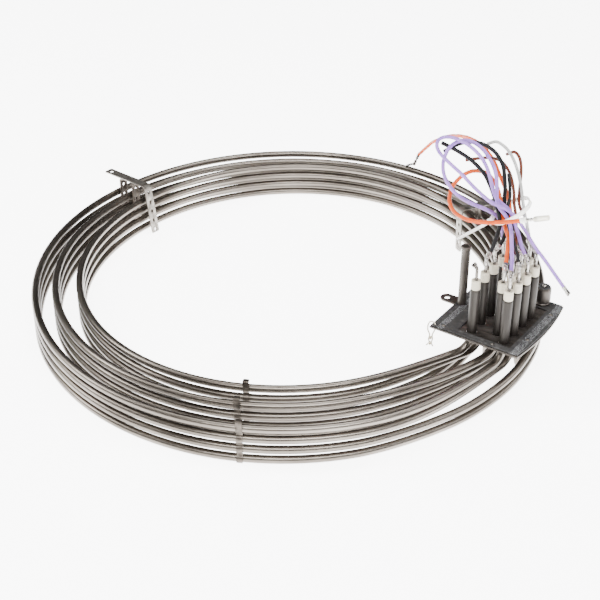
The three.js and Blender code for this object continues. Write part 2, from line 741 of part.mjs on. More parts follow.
function ringLugGeometry() {
  const { start } = leadEnd("lead_orange_1");
  const centre = new THREE.Vector3(160.5, 263, 48.5);
  const level = new THREE.Vector3(start.x - centre.x, start.y - centre.y, 0).normalize();
  const rise = THREE.MathUtils.degToRad(ringLug.lean);
  const forward = level.clone().multiplyScalar(Math.cos(rise)).setZ(Math.sin(rise));
  const neckEnd = centre.clone().addScaledVector(forward, ringLug.reach);
  const side = new THREE.Vector3().crossVectors(forward, new THREE.Vector3(0, 0, 1)).normalize();
  const normal = new THREE.Vector3().crossVectors(forward, side);
  const lie = new THREE.Matrix4().makeBasis(forward, side, normal).setPosition(centre);
  const t = ringLug.thickness;
  const eye = upright(ringLug.eye, -t / 2, t / 2, 20);
  const neck = box(ringLug.reach, 4.4, t, ringLug.reach / 2, 0, 0);
  const hole = upright(ringLug.hole, -t, t, 14);
  const plateShape = cut(joined([eye, neck]), [hole]).applyMatrix4(lie);
  const barrelWay = new THREE.Vector3().subVectors(neckEnd, start);
  const barrel = upright(ringLug.barrel, ringLug.clear, barrelWay.length() + 1, 10);
  return joined([plateShape, aimed(barrel, start, barrelWay.normalize())]);
}

// A lead's end in a short white sleeve, a metal neck and a pale soft boot.
function bootGeometry() {
  const outline = [
    [0, 0],
    [2.9, 0],
    [2.9, 6.3],
    [1.8, 6.3],
    [1.8, 14],
    [3.4, 15],
    [3.2, 30],
    [0, 30],
  ];
  const points = outline.map(([r, z]) => new THREE.Vector2(r, z));
  const { start, direction } = leadEnd("lead_orange_2");
  return aimed(new THREE.LatheGeometry(points, 10).rotateX(Math.PI / 2), start, direction);
}

// A flat push-on receptacle behind its crimp.
function receptacleGeometry() {
  const { start, direction } = leadEnd("lead_purple_2");
  return aimed(joined([upright(1.9, 0, 5, 8), box(6.4, 2.5, 6.5, 0, 0, 7.3)]), start, direction);
}

add("connector_ring", ringLugGeometry(), "terminal", part);
add("connector_boot", bootGeometry(), "tie", part);
add("connector_receptacle", receptacleGeometry(), "terminal", part);

// ---------------------------------------------------------------- cable tie and tag string

// The tie is a flat oval band round the leads, with its head at the low end and the tail past it.
const tie = {
  centre: new THREE.Vector3(230.5, -124.1, 180.7),
  lean: 32.2, // degrees above level, towards +X
  halfLength: 21.5,
  halfDepth: 16.5,
  thickness: 1.1,
  width: 4.4,
  tail: 40,
};

function tieGeometry() {
  const band = new THREE.Shape();
  band.absellipse(0, 0, tie.halfLength + tie.thickness, tie.halfDepth + tie.thickness, 0, 2 * Math.PI);
  const inside = new THREE.Path();
  inside.absellipse(0, 0, tie.halfLength, tie.halfDepth, 0, 2 * Math.PI);
  band.holes.push(inside);
  const low = -tie.halfLength - tie.thickness / 2;
  const shape = joined([
    flatPiece(band, tie.width, -tie.width / 2),
    box(5, 6.5, 6, low - 2, 0, 0),
    box(tie.tail, 1.2, 3.4, low - tie.tail / 2 - 2, 0, 0),
  ]);
  return shape.rotateY(-THREE.MathUtils.degToRad(tie.lean));
}

add("cable_tie", tieGeometry(), "tie", part).position.copy(tie.centre);

// A loop of string tied through the flange's corner hole, with two knots and two short tails.
const tagString = {
  diameter: 1.5,
  points: [
    [147, -160, 37.5], [150.2, -159.2, 40.5], [149.3, -159, 45], [150.4, -158.4, 49.5],
    [148.2, -157, 55.5], [148.4, -156.3, 61], [150, -156.4, 64.7], [152.8, -157.8, 65.8],
    [155.2, -159.2, 64.4], [155.7, -159.5, 61], [155, -159.8, 56], [152.8, -160.8, 51],
    [153.2, -161.4, 46], [152.2, -161.2, 41], [154.2, -160.8, 36.8],
  ],
};

add("tag_string", tubeAlong(routeStations(tagString), tagString.diameter / 2, 6), "string", part);

export default part;
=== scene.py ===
"""Sheathed heating element for a forced-air oven: the looks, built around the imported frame.
Metres, +Z up. The origin is the middle of the box's bottom face, under the rings."""
import math

import bmesh
import bpy
import numpy as np
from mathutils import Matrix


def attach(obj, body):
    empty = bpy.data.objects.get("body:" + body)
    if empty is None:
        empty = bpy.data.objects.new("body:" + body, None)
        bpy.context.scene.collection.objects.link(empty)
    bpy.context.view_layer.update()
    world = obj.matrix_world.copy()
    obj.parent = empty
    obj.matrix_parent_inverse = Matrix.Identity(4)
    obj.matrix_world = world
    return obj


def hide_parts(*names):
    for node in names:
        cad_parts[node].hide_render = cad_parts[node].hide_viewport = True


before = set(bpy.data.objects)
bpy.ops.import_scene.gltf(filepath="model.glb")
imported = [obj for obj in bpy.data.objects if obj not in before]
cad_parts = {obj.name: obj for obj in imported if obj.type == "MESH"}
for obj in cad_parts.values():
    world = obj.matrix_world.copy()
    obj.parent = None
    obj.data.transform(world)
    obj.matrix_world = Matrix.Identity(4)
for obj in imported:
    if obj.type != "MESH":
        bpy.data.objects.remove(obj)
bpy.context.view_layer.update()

# ---------------------------------------------------------------- camera, floor and studio light

# A plain white sweep under a large overhead softbox, with a weaker one at each side, so that
# round metal shows one broad highlight along its top and darker flanks.

camera_data = bpy.data.cameras.new("camera")
camera_data.lens = 74.7
camera_data.sensor_width = 36
camera = bpy.data.objects.new("camera", camera_data)
camera.location = (0.012, -1.2696, 0.7794)
camera.rotation_euler = (math.radians(58.3), 0, 0)
bpy.context.scene.collection.objects.link(camera)
bpy.context.scene.camera = camera


def material_start(name):
    """A material with its Principled shader, and the nodes, links and shader to build on."""
    material = bpy.data.materials.new(name)
    material.use_nodes = True
    nodes = material.node_tree.nodes
    return material, nodes, material.node_tree.links, nodes["Principled BSDF"]


def paper_white():
    material, nodes, links, shader = material_start("floor_paper")
    shader.inputs["Base Color"].default_value = (0.93, 0.93, 0.93, 1)
    shader.inputs["Roughness"].default_value = 0.9
    shader.inputs["Specular IOR Level"].default_value = 0.1
    shader.inputs["Emission Color"].default_value = (1, 1, 1, 1)
    shader.inputs["Emission Strength"].default_value = FLOOR_GLOW
    return material


FLOOR_GLOW = 6.5
floor_mesh = bpy.data.meshes.new("floor")
floor_mesh.from_pydata([(-6, -4, 0), (6, -4, 0), (6, 14, 0), (-6, 14, 0)], [], [(0, 1, 2, 3)])
floor_mesh.materials.append(paper_white())
floor = bpy.data.objects.new("floor", floor_mesh)
floor.location.z = -0.0006
bpy.context.scene.collection.objects.link(floor)


def softbox(name, place, aim, size, power):
    """An area light at place, turned to face aim."""
    data = bpy.data.lights.new(name, "AREA")
    data.shape = "RECTANGLE"
    data.size, data.size_y = size
    data.energy = power
    light = bpy.data.objects.new(name, data)
    light.location = place
    way = np.subtract(aim, place)
    level = math.hypot(way[0], way[1])
    light.rotation_euler = (math.atan2(level, -way[2]), 0, math.atan2(way[1], way[0]) - math.pi / 2)
    bpy.context.scene.collection.objects.link(light)


softbox("overhead", (0, 0.3, 2.3), (0, 0.05, 0), (2.4, 0.8), 60)
softbox("front", (0, -1.9, 2.3), (0, 0, 0), (2.8, 0.55), 150)
softbox("left", (-2.3, 0.2, 1.6), (0, 0, 0), (0.6, 1.4), 75)
softbox("right", (2.3, -0.4, 1.7), (0, 0, 0), (0.6, 1.4), 26)

world = bpy.data.worlds.new("studio")
world.use_nodes = True
sky_nodes, sky_links = world.node_tree.nodes, world.node_tree.links
sky_place = sky_nodes.new("ShaderNodeTexCoord")
sky_split = sky_nodes.new("ShaderNodeSeparateXYZ")
sky_fade = sky_nodes.new("ShaderNodeMapRange")
sky_fade.interpolation_type = "SMOOTHSTEP"
for socket, value in (("From Min", 0.05), ("From Max", 0.75), ("To Min", 0.8), ("To Max", 2.3)):
    sky_fade.inputs[socket].default_value = value
sky_links.new(sky_place.outputs["Generated"], sky_split.inputs["Vector"])
sky_links.new(sky_split.outputs["Z"], sky_fade.inputs["Value"])
sky_links.new(sky_fade.outputs["Result"], sky_nodes["Background"].inputs["Strength"])
bpy.context.scene.world = world

# ---------------------------------------------------------------- leads

# Ten single-core leads in silicone rubber, five colours, crimped to the terminals and gathered
# once by a cable tie. They stand up from the flange in open loops and end loose in the air.

LEAD_BLACK_1 = [
    (0.2045, -0.153, 0.1395), (0.2095, -0.146, 0.144), (0.213, -0.141, 0.15),
    (0.2165, -0.1365, 0.1595), (0.219, -0.132, 0.169), (0.218, -0.1275, 0.1765),
    (0.216, -0.1225, 0.1845), (0.2125, -0.116, 0.1945), (0.2085, -0.11, 0.2035),
    (0.204, -0.1045, 0.2115), (0.1975, -0.099, 0.218), (0.1895, -0.0935, 0.224),
    (0.1805, -0.088, 0.2285), (0.1705, -0.0825, 0.2325), (0.16, -0.077, 0.236),
]
LEAD_BLACK_2 = [
    (0.216, -0.1365, 0.1395), (0.2215, -0.131, 0.1445), (0.2255, -0.127, 0.1505),
    (0.227, -0.124, 0.1585), (0.2265, -0.121, 0.1675), (0.225, -0.117, 0.178),
    (0.2245, -0.113, 0.1885), (0.225, -0.1085, 0.1995), (0.224, -0.1045, 0.21), (0.2225, -0.1, 0.2195),
    (0.2185, -0.096, 0.227), (0.2135, -0.0915, 0.2325), (0.2065, -0.0875, 0.2365),
    (0.1985, -0.0835, 0.2385), (0.19, -0.08, 0.238), (0.1815, -0.0765, 0.2355),
    (0.173, -0.074, 0.2305), (0.164, -0.071, 0.223),
]
LEAD_BLACK_3 = [
    (0.2355, -0.1745, 0.1395), (0.2355, -0.167, 0.142), (0.2355, -0.161, 0.145),
    (0.235, -0.156, 0.149), (0.233, -0.1505, 0.154), (0.231, -0.1455, 0.16), (0.2285, -0.14, 0.1655),
    (0.227, -0.134, 0.1705), (0.2265, -0.1285, 0.175), (0.227, -0.1235, 0.1795),
    (0.228, -0.1185, 0.1855), (0.23, -0.114, 0.1915), (0.23, -0.1095, 0.1975), (0.2295, -0.105, 0.204),
    (0.2285, -0.1, 0.2115),
]
LEAD_PURPLE_1 = [
    (0.224, -0.191, 0.1395), (0.226, -0.1815, 0.1425), (0.2275, -0.1725, 0.148),
    (0.228, -0.1625, 0.1555), (0.2285, -0.1525, 0.1625), (0.2285, -0.143, 0.17),
    (0.2265, -0.1365, 0.1755), (0.223, -0.133, 0.1805), (0.2195, -0.1315, 0.1845),
    (0.2165, -0.1305, 0.1885), (0.2145, -0.13, 0.193), (0.2135, -0.128, 0.2),
    (0.2135, -0.1245, 0.2085), (0.213, -0.119, 0.217), (0.2105, -0.1125, 0.225),
    (0.206, -0.1065, 0.2325), (0.2005, -0.1005, 0.2385), (0.194, -0.0955, 0.2425),
    (0.187, -0.0915, 0.2445), (0.1795, -0.089, 0.244), (0.1725, -0.0875, 0.2405),
    (0.167, -0.0875, 0.235), (0.163, -0.0895, 0.2275), (0.161, -0.092, 0.2195),
    (0.1615, -0.0955, 0.211), (0.1645, -0.0995, 0.2035), (0.1695, -0.104, 0.1965),
    (0.1765, -0.109, 0.191), (0.185, -0.113, 0.1865), (0.195, -0.1165, 0.183),
    (0.205, -0.1185, 0.1795), (0.2135, -0.1195, 0.175), (0.219, -0.12, 0.17), (0.2225, -0.1195, 0.162),
    (0.225, -0.1195, 0.1515), (0.2275, -0.12, 0.1395),
]
LEAD_PURPLE_2 = [
    (0.247, -0.158, 0.1395), (0.244, -0.15, 0.144), (0.241, -0.1445, 0.1505), (0.238, -0.139, 0.16),
    (0.234, -0.134, 0.1705), (0.23, -0.1285, 0.18), (0.225, -0.126, 0.1855), (0.2185, -0.1245, 0.1905),
    (0.2135, -0.1235, 0.196), (0.21, -0.121, 0.205), (0.207, -0.1175, 0.2155),
    (0.2035, -0.113, 0.2245), (0.1985, -0.108, 0.2325), (0.192, -0.103, 0.2385),
    (0.1845, -0.0975, 0.243), (0.1755, -0.093, 0.2465), (0.167, -0.09, 0.248), (0.16, -0.089, 0.2475),
    (0.155, -0.09, 0.245), (0.153, -0.094, 0.241), (0.155, -0.099, 0.236), (0.1605, -0.1055, 0.2315),
    (0.1685, -0.1125, 0.226), (0.177, -0.1195, 0.2205), (0.185, -0.1265, 0.214),
    (0.1925, -0.132, 0.208), (0.2005, -0.136, 0.202), (0.2075, -0.1375, 0.197),
    (0.2155, -0.136, 0.1925), (0.224, -0.1335, 0.187), (0.2305, -0.134, 0.182),
    (0.2365, -0.1365, 0.176), (0.2425, -0.142, 0.1685), (0.2485, -0.149, 0.1605),
    (0.2545, -0.156, 0.153), (0.261, -0.1615, 0.146), (0.268, -0.166, 0.1375), (0.275, -0.17, 0.1285),
    (0.2825, -0.174, 0.119),
]
LEAD_ORANGE_1 = [
    (0.22, -0.1745, 0.1395), (0.223, -0.164, 0.1425), (0.225, -0.155, 0.147), (0.2265, -0.146, 0.1535),
    (0.228, -0.137, 0.161), (0.229, -0.129, 0.169), (0.2305, -0.1205, 0.1775), (0.23, -0.113, 0.184),
    (0.229, -0.104, 0.189), (0.227, -0.0935, 0.1935), (0.2245, -0.082, 0.1975),
    (0.2225, -0.0705, 0.2005), (0.221, -0.059, 0.203), (0.219, -0.0475, 0.2045),
    (0.217, -0.036, 0.2045), (0.215, -0.0245, 0.204), (0.213, -0.0125, 0.2025), (0.211, -0.0005, 0.2),
    (0.209, 0.0115, 0.1975), (0.207, 0.0235, 0.194), (0.205, 0.035, 0.1905), (0.203, 0.047, 0.1865),
    (0.201, 0.0585, 0.182), (0.1985, 0.0705, 0.1775), (0.1965, 0.0815, 0.1725),
    (0.1945, 0.093, 0.1675), (0.1925, 0.1045, 0.162), (0.191, 0.1155, 0.1565), (0.189, 0.127, 0.1505),
    (0.187, 0.138, 0.1445), (0.185, 0.1485, 0.138), (0.183, 0.1595, 0.1315), (0.1815, 0.1705, 0.125),
    (0.1825, 0.194, 0.1135), (0.181, 0.2055, 0.106), (0.1795, 0.2165, 0.098), (0.1775, 0.227, 0.09),
    (0.1755, 0.2365, 0.0825), (0.1735, 0.2445, 0.0755), (0.1715, 0.252, 0.0695),
]
LEAD_ORANGE_2 = [
    (0.243, -0.142, 0.1395), (0.236, -0.1365, 0.144), (0.231, -0.133, 0.15), (0.227, -0.1295, 0.159),
    (0.2235, -0.1265, 0.169), (0.2215, -0.122, 0.179), (0.22, -0.117, 0.1885),
    (0.218, -0.1105, 0.1965), (0.2145, -0.104, 0.203), (0.21, -0.098, 0.2075),
    (0.2045, -0.0925, 0.2095), (0.1975, -0.0885, 0.209), (0.1905, -0.0855, 0.2065),
    (0.1835, -0.085, 0.202), (0.1775, -0.0865, 0.1965), (0.1725, -0.09, 0.191), (0.17, -0.0955, 0.185),
    (0.169, -0.102, 0.1805), (0.1705, -0.11, 0.177), (0.174, -0.1185, 0.175), (0.179, -0.127, 0.175),
    (0.1855, -0.135, 0.1755), (0.1935, -0.1425, 0.1775), (0.202, -0.149, 0.18),
    (0.2115, -0.1545, 0.183), (0.222, -0.1595, 0.1865), (0.233, -0.1645, 0.1905),
]
LEAD_BROWN_1 = [
    (0.2545, -0.1255, 0.1395), (0.253, -0.119, 0.1445), (0.252, -0.1155, 0.1505),
    (0.251, -0.114, 0.158), (0.249, -0.115, 0.1655), (0.2455, -0.117, 0.1725),
    (0.2415, -0.118, 0.1795), (0.2395, -0.1165, 0.186), (0.2395, -0.1125, 0.194),
    (0.2405, -0.107, 0.203), (0.2415, -0.101, 0.2125), (0.2415, -0.095, 0.22), (0.24, -0.09, 0.2255),
    (0.236, -0.084, 0.2285), (0.2285, -0.079, 0.2235),
]
LEAD_BROWN_2 = [
    (0.2315, -0.158, 0.1395), (0.234, -0.149, 0.143), (0.2355, -0.1425, 0.148),
    (0.2365, -0.136, 0.156), (0.2365, -0.13, 0.1655), (0.236, -0.124, 0.1755),
    (0.2345, -0.1175, 0.1845), (0.2345, -0.1105, 0.193), (0.2335, -0.103, 0.201),
    (0.2315, -0.0955, 0.208), (0.228, -0.0885, 0.2135), (0.2235, -0.083, 0.217),
    (0.2175, -0.078, 0.218), (0.209, -0.0735, 0.217), (0.1995, -0.069, 0.214), (0.1885, -0.0645, 0.21),
]
LEAD_WHITE_1 = [
    (0.2585, -0.1415, 0.1395), (0.255, -0.1345, 0.144), (0.252, -0.13, 0.1505),
    (0.25, -0.1265, 0.1585), (0.247, -0.124, 0.169), (0.2445, -0.1215, 0.1805),
    (0.2425, -0.1185, 0.1905), (0.241, -0.1145, 0.2), (0.239, -0.109, 0.2095),
    (0.2365, -0.1035, 0.218), (0.233, -0.0975, 0.226), (0.2285, -0.0915, 0.2325),
    (0.2235, -0.0865, 0.2365), (0.216, -0.0825, 0.2395), (0.2075, -0.079, 0.2355),
]


def smooth_route(points, step):
    """Points every step along the centripetal Catmull-Rom curve through the given points: each
    span blends its four nearest points, with knots spaced by the square root of their distance."""
    p = np.array(points, float)
    p = np.vstack([2 * p[0] - p[1], p, 2 * p[-1] - p[-2]])
    gaps = np.sqrt(np.linalg.norm(np.diff(p, axis=0), axis=1))
    knots = np.concatenate([[0], np.cumsum(gaps)])
    spans = []
    for k in range(1, len(p) - 2):
        t = np.linspace(knots[k], knots[k + 1], 24, endpoint=False)[:, None]
        a, b, c, d = knots[k - 1 : k + 3]
        ab = ((b - t) * p[k - 1] + (t - a) * p[k]) / (b - a)
        bc = ((c - t) * p[k] + (t - b) * p[k + 1]) / (c - b)
        cd = ((d - t) * p[k + 1] + (t - c) * p[k + 2]) / (d - c)
        abc = ((c - t) * ab + (t - a) * bc) / (c - a)
        bcd = ((d - t) * bc + (t - b) * cd) / (d - b)
        spans.append(((c - t) * abc + (t - b) * bcd) / (c - b))
    line = np.vstack([*spans, p[-2][None]])
    run = np.concatenate([[0], np.cumsum(np.linalg.norm(np.diff(line, axis=0), axis=1))])
    even = np.linspace(0, run[-1], max(int(run[-1] / step), 4) + 1)
    return np.column_stack([np.interp(even, run, line[:, i]) for i in range(3)]), run[-1]


def skin(points, around_closed=True, caps=True):
    """Faces of a grid of stations by sides, wound so that they point outwards when the sides run
    anticlockwise seen from the far end; an n-gon closes each end. Returns faces and their UVs,
    with U once round and V the distance along."""
    n, m = points.shape[:2]
    k, j = np.meshgrid(np.arange(n - 1), np.arange(m), indexing="ij")
    k, j = k.ravel(), j.ravel()
    nxt = (j + 1) % m
    quads = np.column_stack([k * m + j, k * m + nxt, (k + 1) * m + nxt, (k + 1) * m + j])
    middle = points.mean(axis=1)
    run = np.concatenate([[0], np.cumsum(np.linalg.norm(np.diff(middle, axis=0), axis=1))])
    u = np.column_stack([j, j + 1, j + 1, j]) / m
    v = np.column_stack([run[k], run[k], run[k + 1], run[k + 1]])
    uv = np.stack([u, v], axis=2).reshape(-1, 2)
    faces = quads.tolist()
    if caps:
        faces += [list(range(m))[::-1], list(range((n - 1) * m, n * m))]
        uv = np.vstack([uv, np.tile([0.5, run[0]], (m, 1)), np.tile([0.5, run[-1]], (m, 1))])
    return faces, uv


def swept(path, sections):
    """Grid of points with a flat section set square across each station of a path; the sections
    are turned as little as possible from one station to the next."""
    path = np.asarray(path, float)
    sections = np.broadcast_to(sections, (len(path), *np.shape(sections)[-2:]))
    tangent = np.gradient(path, axis=0)
    tangent /= np.linalg.norm(tangent, axis=1)[:, None]
    last = np.cross([0, 0, 1] if abs(tangent[0, 2]) < 0.9 else [1, 0, 0], tangent[0])
    side = np.empty_like(tangent)
    for k, way in enumerate(tangent):
        last = last - way * last.dot(way)
        last = last / np.linalg.norm(last)
        side[k] = last
    up = np.cross(tangent, side)
    return path[:, None] + sections[..., :1] * side[:, None] + sections[..., 1:] * up[:, None]


def circle(sides):
    """Unit circle, anticlockwise."""
    angle = np.arange(sides) * 2 * math.pi / sides
    return np.column_stack([np.cos(angle), np.sin(angle)])


def piece(name, groups, material, replaces=(), smooth_angle=35):
    """A mesh object made of several closed skins, riding on the root body."""
    points, faces, uvs, start = [], [], [], 0
    for grid, (skin_faces, uv) in groups:
        flat = np.asarray(grid, float).reshape(-1, 3)
        faces += [[i + start for i in face] for face in skin_faces]
        points.append(flat)
        uvs.append(uv)
        start += len(flat)
    mesh = bpy.data.meshes.new(name)
    mesh.from_pydata(np.vstack(points).tolist(), [], faces)
    layer = mesh.uv_layers.new(name="run")
    layer.data.foreach_set("uv", np.vstack(uvs).astype(np.float32).ravel())
    mesh.polygons.foreach_set("use_smooth", [True] * len(mesh.polygons))
    mesh.materials.append(material)
    mesh.set_sharp_from_angle(angle=math.radians(smooth_angle))
    made = bpy.data.objects.new(name, mesh)
    bpy.context.scene.collection.objects.link(made)
    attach(made, "root")
    if replaces:
        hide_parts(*replaces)
    return made


def tube(path, radius, sides=14):
    """A skin round a path: circles of one radius, or of a radius for each station."""
    radius = np.broadcast_to(radius, len(path))
    grid = swept(path, circle(sides)[None] * radius[:, None, None])
    return grid, skin(grid)


def mottle(nodes, links, vector, scale, detail=3, stretch=None):
    """A noise value on the given coordinates, which may be stretched along some axes first."""
    if stretch:
        mapping = nodes.new("ShaderNodeMapping")
        mapping.inputs["Scale"].default_value = stretch
        links.new(vector, mapping.inputs["Vector"])
        vector = mapping.outputs["Vector"]
    noise = nodes.new("ShaderNodeTexNoise")
    noise.inputs["Scale"].default_value = scale
    noise.inputs["Detail"].default_value = detail
    links.new(vector, noise.inputs["Vector"])
    return noise.outputs["Fac"]


def ramp(nodes, links, value, stops):
    """A colour ramp from (position, colour) stops."""
    node = nodes.new("ShaderNodeValToRGB")
    bands = node.color_ramp.elements
    while len(bands) < len(stops):
        bands.new(0.5)
    for band, (place, colour) in zip(bands, stops):
        band.position = place
        band.color = (*colour, 1)
    links.new(value, node.inputs["Fac"])
    return node.outputs["Color"]


def paint(nodes, links, shader, socket, value, *stops):
    """A ramp over value, led to one socket of the shader."""
    links.new(ramp(nodes, links, value, stops), shader.inputs[socket])


def relief(nodes, links, shader, value, strength, depth):
    """Bump from a value."""
    bump = nodes.new("ShaderNodeBump")
    bump.inputs["Strength"].default_value = strength
    bump.inputs["Distance"].default_value = depth
    links.new(value, bump.inputs["Height"])
    links.new(bump.outputs["Normal"], shader.inputs["Normal"])


def grey(level):
    return (level, level, level)


def silicone(name, light, dark, rough):
    """Extruded silicone rubber: a soft waxy face with faint dusty patches and fine draw marks."""
    material, nodes, links, shader = material_start(name)
    place = nodes.new("ShaderNodeTexCoord")
    dust = mottle(nodes, links, place.outputs["Object"], 120, 4)
    paint(nodes, links, shader, "Base Color", dust, (0.3, dark), (0.62, light))
    paint(nodes, links, shader, "Roughness", dust,
          (0.35, grey(rough - 0.08)), (0.7, grey(rough + 0.12)))
    shader.inputs["Specular IOR Level"].default_value = 0.2
    drawn = mottle(nodes, links, place.outputs["UV"], 60, 2, (1, 6, 1))
    relief(nodes, links, shader, drawn, 0.12, 0.0002)
    return material


silicones = {
    "black": silicone("silicone_black", (0.0045, 0.0045, 0.0045), (0.002, 0.002, 0.002), 0.55),
    "purple": silicone("silicone_purple", (0.3, 0.165, 0.5), (0.21, 0.11, 0.4), 0.5),
    "orange": silicone("silicone_orange", (0.56, 0.075, 0.006), (0.42, 0.05, 0.004), 0.5),
    "brown": silicone("silicone_brown", (0.1, 0.022, 0.009), (0.06, 0.013, 0.006), 0.45),
    "white": silicone("silicone_white", (0.4, 0.4, 0.385), (0.3, 0.3, 0.285), 0.45),
}
lead_routes = {}


def lead(name, colour, points, diameter):
    """One lead along its route, of the given diameter."""
    path, length = smooth_route(points, 0.0016)
    lead_routes[name] = path
    made = piece(name + "_wire", [tube(path, diameter / 2)], silicones[colour],
                 [name])
    return made

# ---------------------------------------------------------------- lead connectors

# Three leads end in a crimped fitting: a ring lug of tinned steel, a flat push-on receptacle, and
# a receptacle hidden in a pale soft boot behind a short printed sleeve.


def tinned(name, light, dark, rough):
    """Tinned or nickel-plated sheet steel, pressed and crimped: bright with small dull smears."""
    material, nodes, links, shader = material_start(name)
    place = nodes.new("ShaderNodeTexCoord")
    smear = mottle(nodes, links, place.outputs["Object"], 300, 4)
    paint(nodes, links, shader, "Base Color", smear, (0.35, dark), (0.6, light))
    paint(nodes, links, shader, "Roughness", smear, (0.3, grey(rough)), (0.7, grey(rough + 0.2)))
    shader.inputs["Metallic"].default_value = 1
    relief(nodes, links, shader, mottle(nodes, links, place.outputs["Object"], 700, 2), 0.2, 0.0002)
    return material


tin = tinned("tinned_steel", (0.5, 0.48, 0.45), (0.16, 0.145, 0.13), 0.2)
dark_tin = tinned("dull_tinned_steel", (0.16, 0.145, 0.13), (0.045, 0.04, 0.036), 0.28)


def end_of(points, gap=0.0003):
    """Where a lead's fitting starts, just past its last point, and the way it points."""
    before, end = np.array(points[-2]), np.array(points[-1])
    way = (end - before) / np.linalg.norm(end - before)
    return end + way * gap, way


def straight(start, way, runs):
    """Stations at the given distances along a straight line."""
    return np.asarray(start) + np.outer(runs, way)


def slab(width, thickness, corner=0.35, steps=4):
    """Rectangle with rounded corners, anticlockwise; the corner radius is a share of thickness."""
    r = thickness * corner
    turn = np.linspace(0, math.pi / 2, steps)
    bend = np.column_stack([np.cos(turn), np.sin(turn)]) * r
    sides = []
    for k, (sx, sy) in enumerate([(1, 1), (-1, 1), (-1, -1), (1, -1)]):
        quarter = k * math.pi / 2
        spin = np.array([[math.cos(quarter), math.sin(quarter)], [-math.sin(quarter), math.cos(quarter)]])
        sides.append(bend @ spin + [sx * (width / 2 - r), sy * (thickness / 2 - r)])
    return np.vstack(sides)


def pressed(path, widths, depths, sides=20, square=3.2, seam=0.0):
    """Closed skin of superellipse sections, one half-width and half-depth for each station; the
    seam is a groove of that share of the depth along one flank, where rolled edges meet."""
    angle = np.arange(sides) * 2 * math.pi / sides
    c, s = np.cos(angle), np.sin(angle)
    x = np.sign(c) * np.abs(c) ** (2 / square)
    y = np.sign(s) * np.abs(s) ** (2 / square)
    groove = 1 - seam * np.exp(-(((angle - math.pi / 2) / 0.22) ** 2))
    widths = np.broadcast_to(widths, len(path))[:, None]
    depths = np.broadcast_to(depths, len(path))[:, None]
    sections = np.stack([x * widths, y * groove * depths], axis=2)
    grid = swept(path, sections)
    return grid, skin(grid)


def flat_sheet(outline, holes, thickness, edge):
    """Points and faces of a flat sheet, its middle plane at height 0, from closed outlines; its
    cut edges are rounded by the given amount."""
    curve = bpy.data.curves.new("cut", "CURVE")
    curve.dimensions = "2D"
    curve.fill_mode = "BOTH"
    curve.extrude = thickness / 2 - edge
    curve.bevel_depth = edge
    curve.bevel_resolution = 1
    curve.offset = -edge
    for ring in [outline, *holes]:
        spline = curve.splines.new("POLY")
        spline.points.add(len(ring) - 1)
        flat = np.column_stack([ring, np.zeros(len(ring)), np.ones(len(ring))])
        spline.points.foreach_set("co", flat.astype(np.float32).ravel())
        spline.use_cyclic_u = True
    holder = bpy.data.objects.new("cut", curve)
    bpy.context.scene.collection.objects.link(holder)
    bpy.context.view_layer.update()
    mesh = bpy.data.meshes.new_from_object(holder.evaluated_get(bpy.context.evaluated_depsgraph_get()))
    bpy.data.objects.remove(holder)
    bpy.data.curves.remove(curve)
    return mesh


def sheet_piece(name, mesh, place, material, replaces=(), cuts=(), smooth_angle=30):
    """A flat sheet made a piece: welded, cut across at the given x, then every point moved by
    place, which takes and gives whole arrays."""
    shape = bmesh.new()
    shape.from_mesh(mesh)
    bmesh.ops.remove_doubles(shape, verts=shape.verts, dist=1e-6)
    for x in cuts:
        every = shape.verts[:] + shape.edges[:] + shape.faces[:]
        bmesh.ops.bisect_plane(shape, geom=every, plane_co=(x, 0, 0), plane_no=(1, 0, 0))
    shape.to_mesh(mesh)
    shape.free()
    flat = np.empty(len(mesh.vertices) * 3, np.float32)
    mesh.vertices.foreach_get("co", flat)
    moved = place(flat.reshape(-1, 3).astype(float))
    mesh.vertices.foreach_set("co", moved.astype(np.float32).ravel())
    shape = bmesh.new()
    shape.from_mesh(mesh)
    bmesh.ops.recalc_face_normals(shape, faces=shape.faces)
    shape.to_mesh(mesh)
    shape.free()
    mesh.name = name
    mesh.materials.clear()
    mesh.materials.append(material)
    mesh.polygons.foreach_set("use_smooth", [True] * len(mesh.polygons))
    mesh.set_sharp_from_angle(angle=math.radians(smooth_angle))
    made = bpy.data.objects.new(name, mesh)
    bpy.context.scene.collection.objects.link(made)
    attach(made, "root")
    if replaces:
        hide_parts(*replaces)
    return made


def waist(runs, middle, spread):
    """A bell curve of height 1: where a crimp has squeezed its barrel."""
    return np.exp(-(((runs - middle) / spread) ** 2))


def ring_of(centre, radius, count=28):
    """A circle as a closed outline."""
    return circle(count) * radius + centre


# The ring lug's eye leans on the outer group's top turn.
lug_start, lug_way = end_of(LEAD_ORANGE_1)
lug_centre = np.array([0.1605, 0.263, 0.0485])
level = (lug_start - lug_centre) * [1, 1, 0]
level /= np.linalg.norm(level)
lug_forward = level * math.cos(math.radians(25)) + np.array([0, 0, math.sin(math.radians(25))])
lug_side = np.cross(lug_forward, [0, 0, 1])
lug_side /= np.linalg.norm(lug_side)
lug_normal = np.cross(lug_forward, lug_side)


def on_lug(p):
    return lug_centre + p[:, :1] * lug_forward + p[:, 1:2] * lug_side + p[:, 2:] * lug_normal


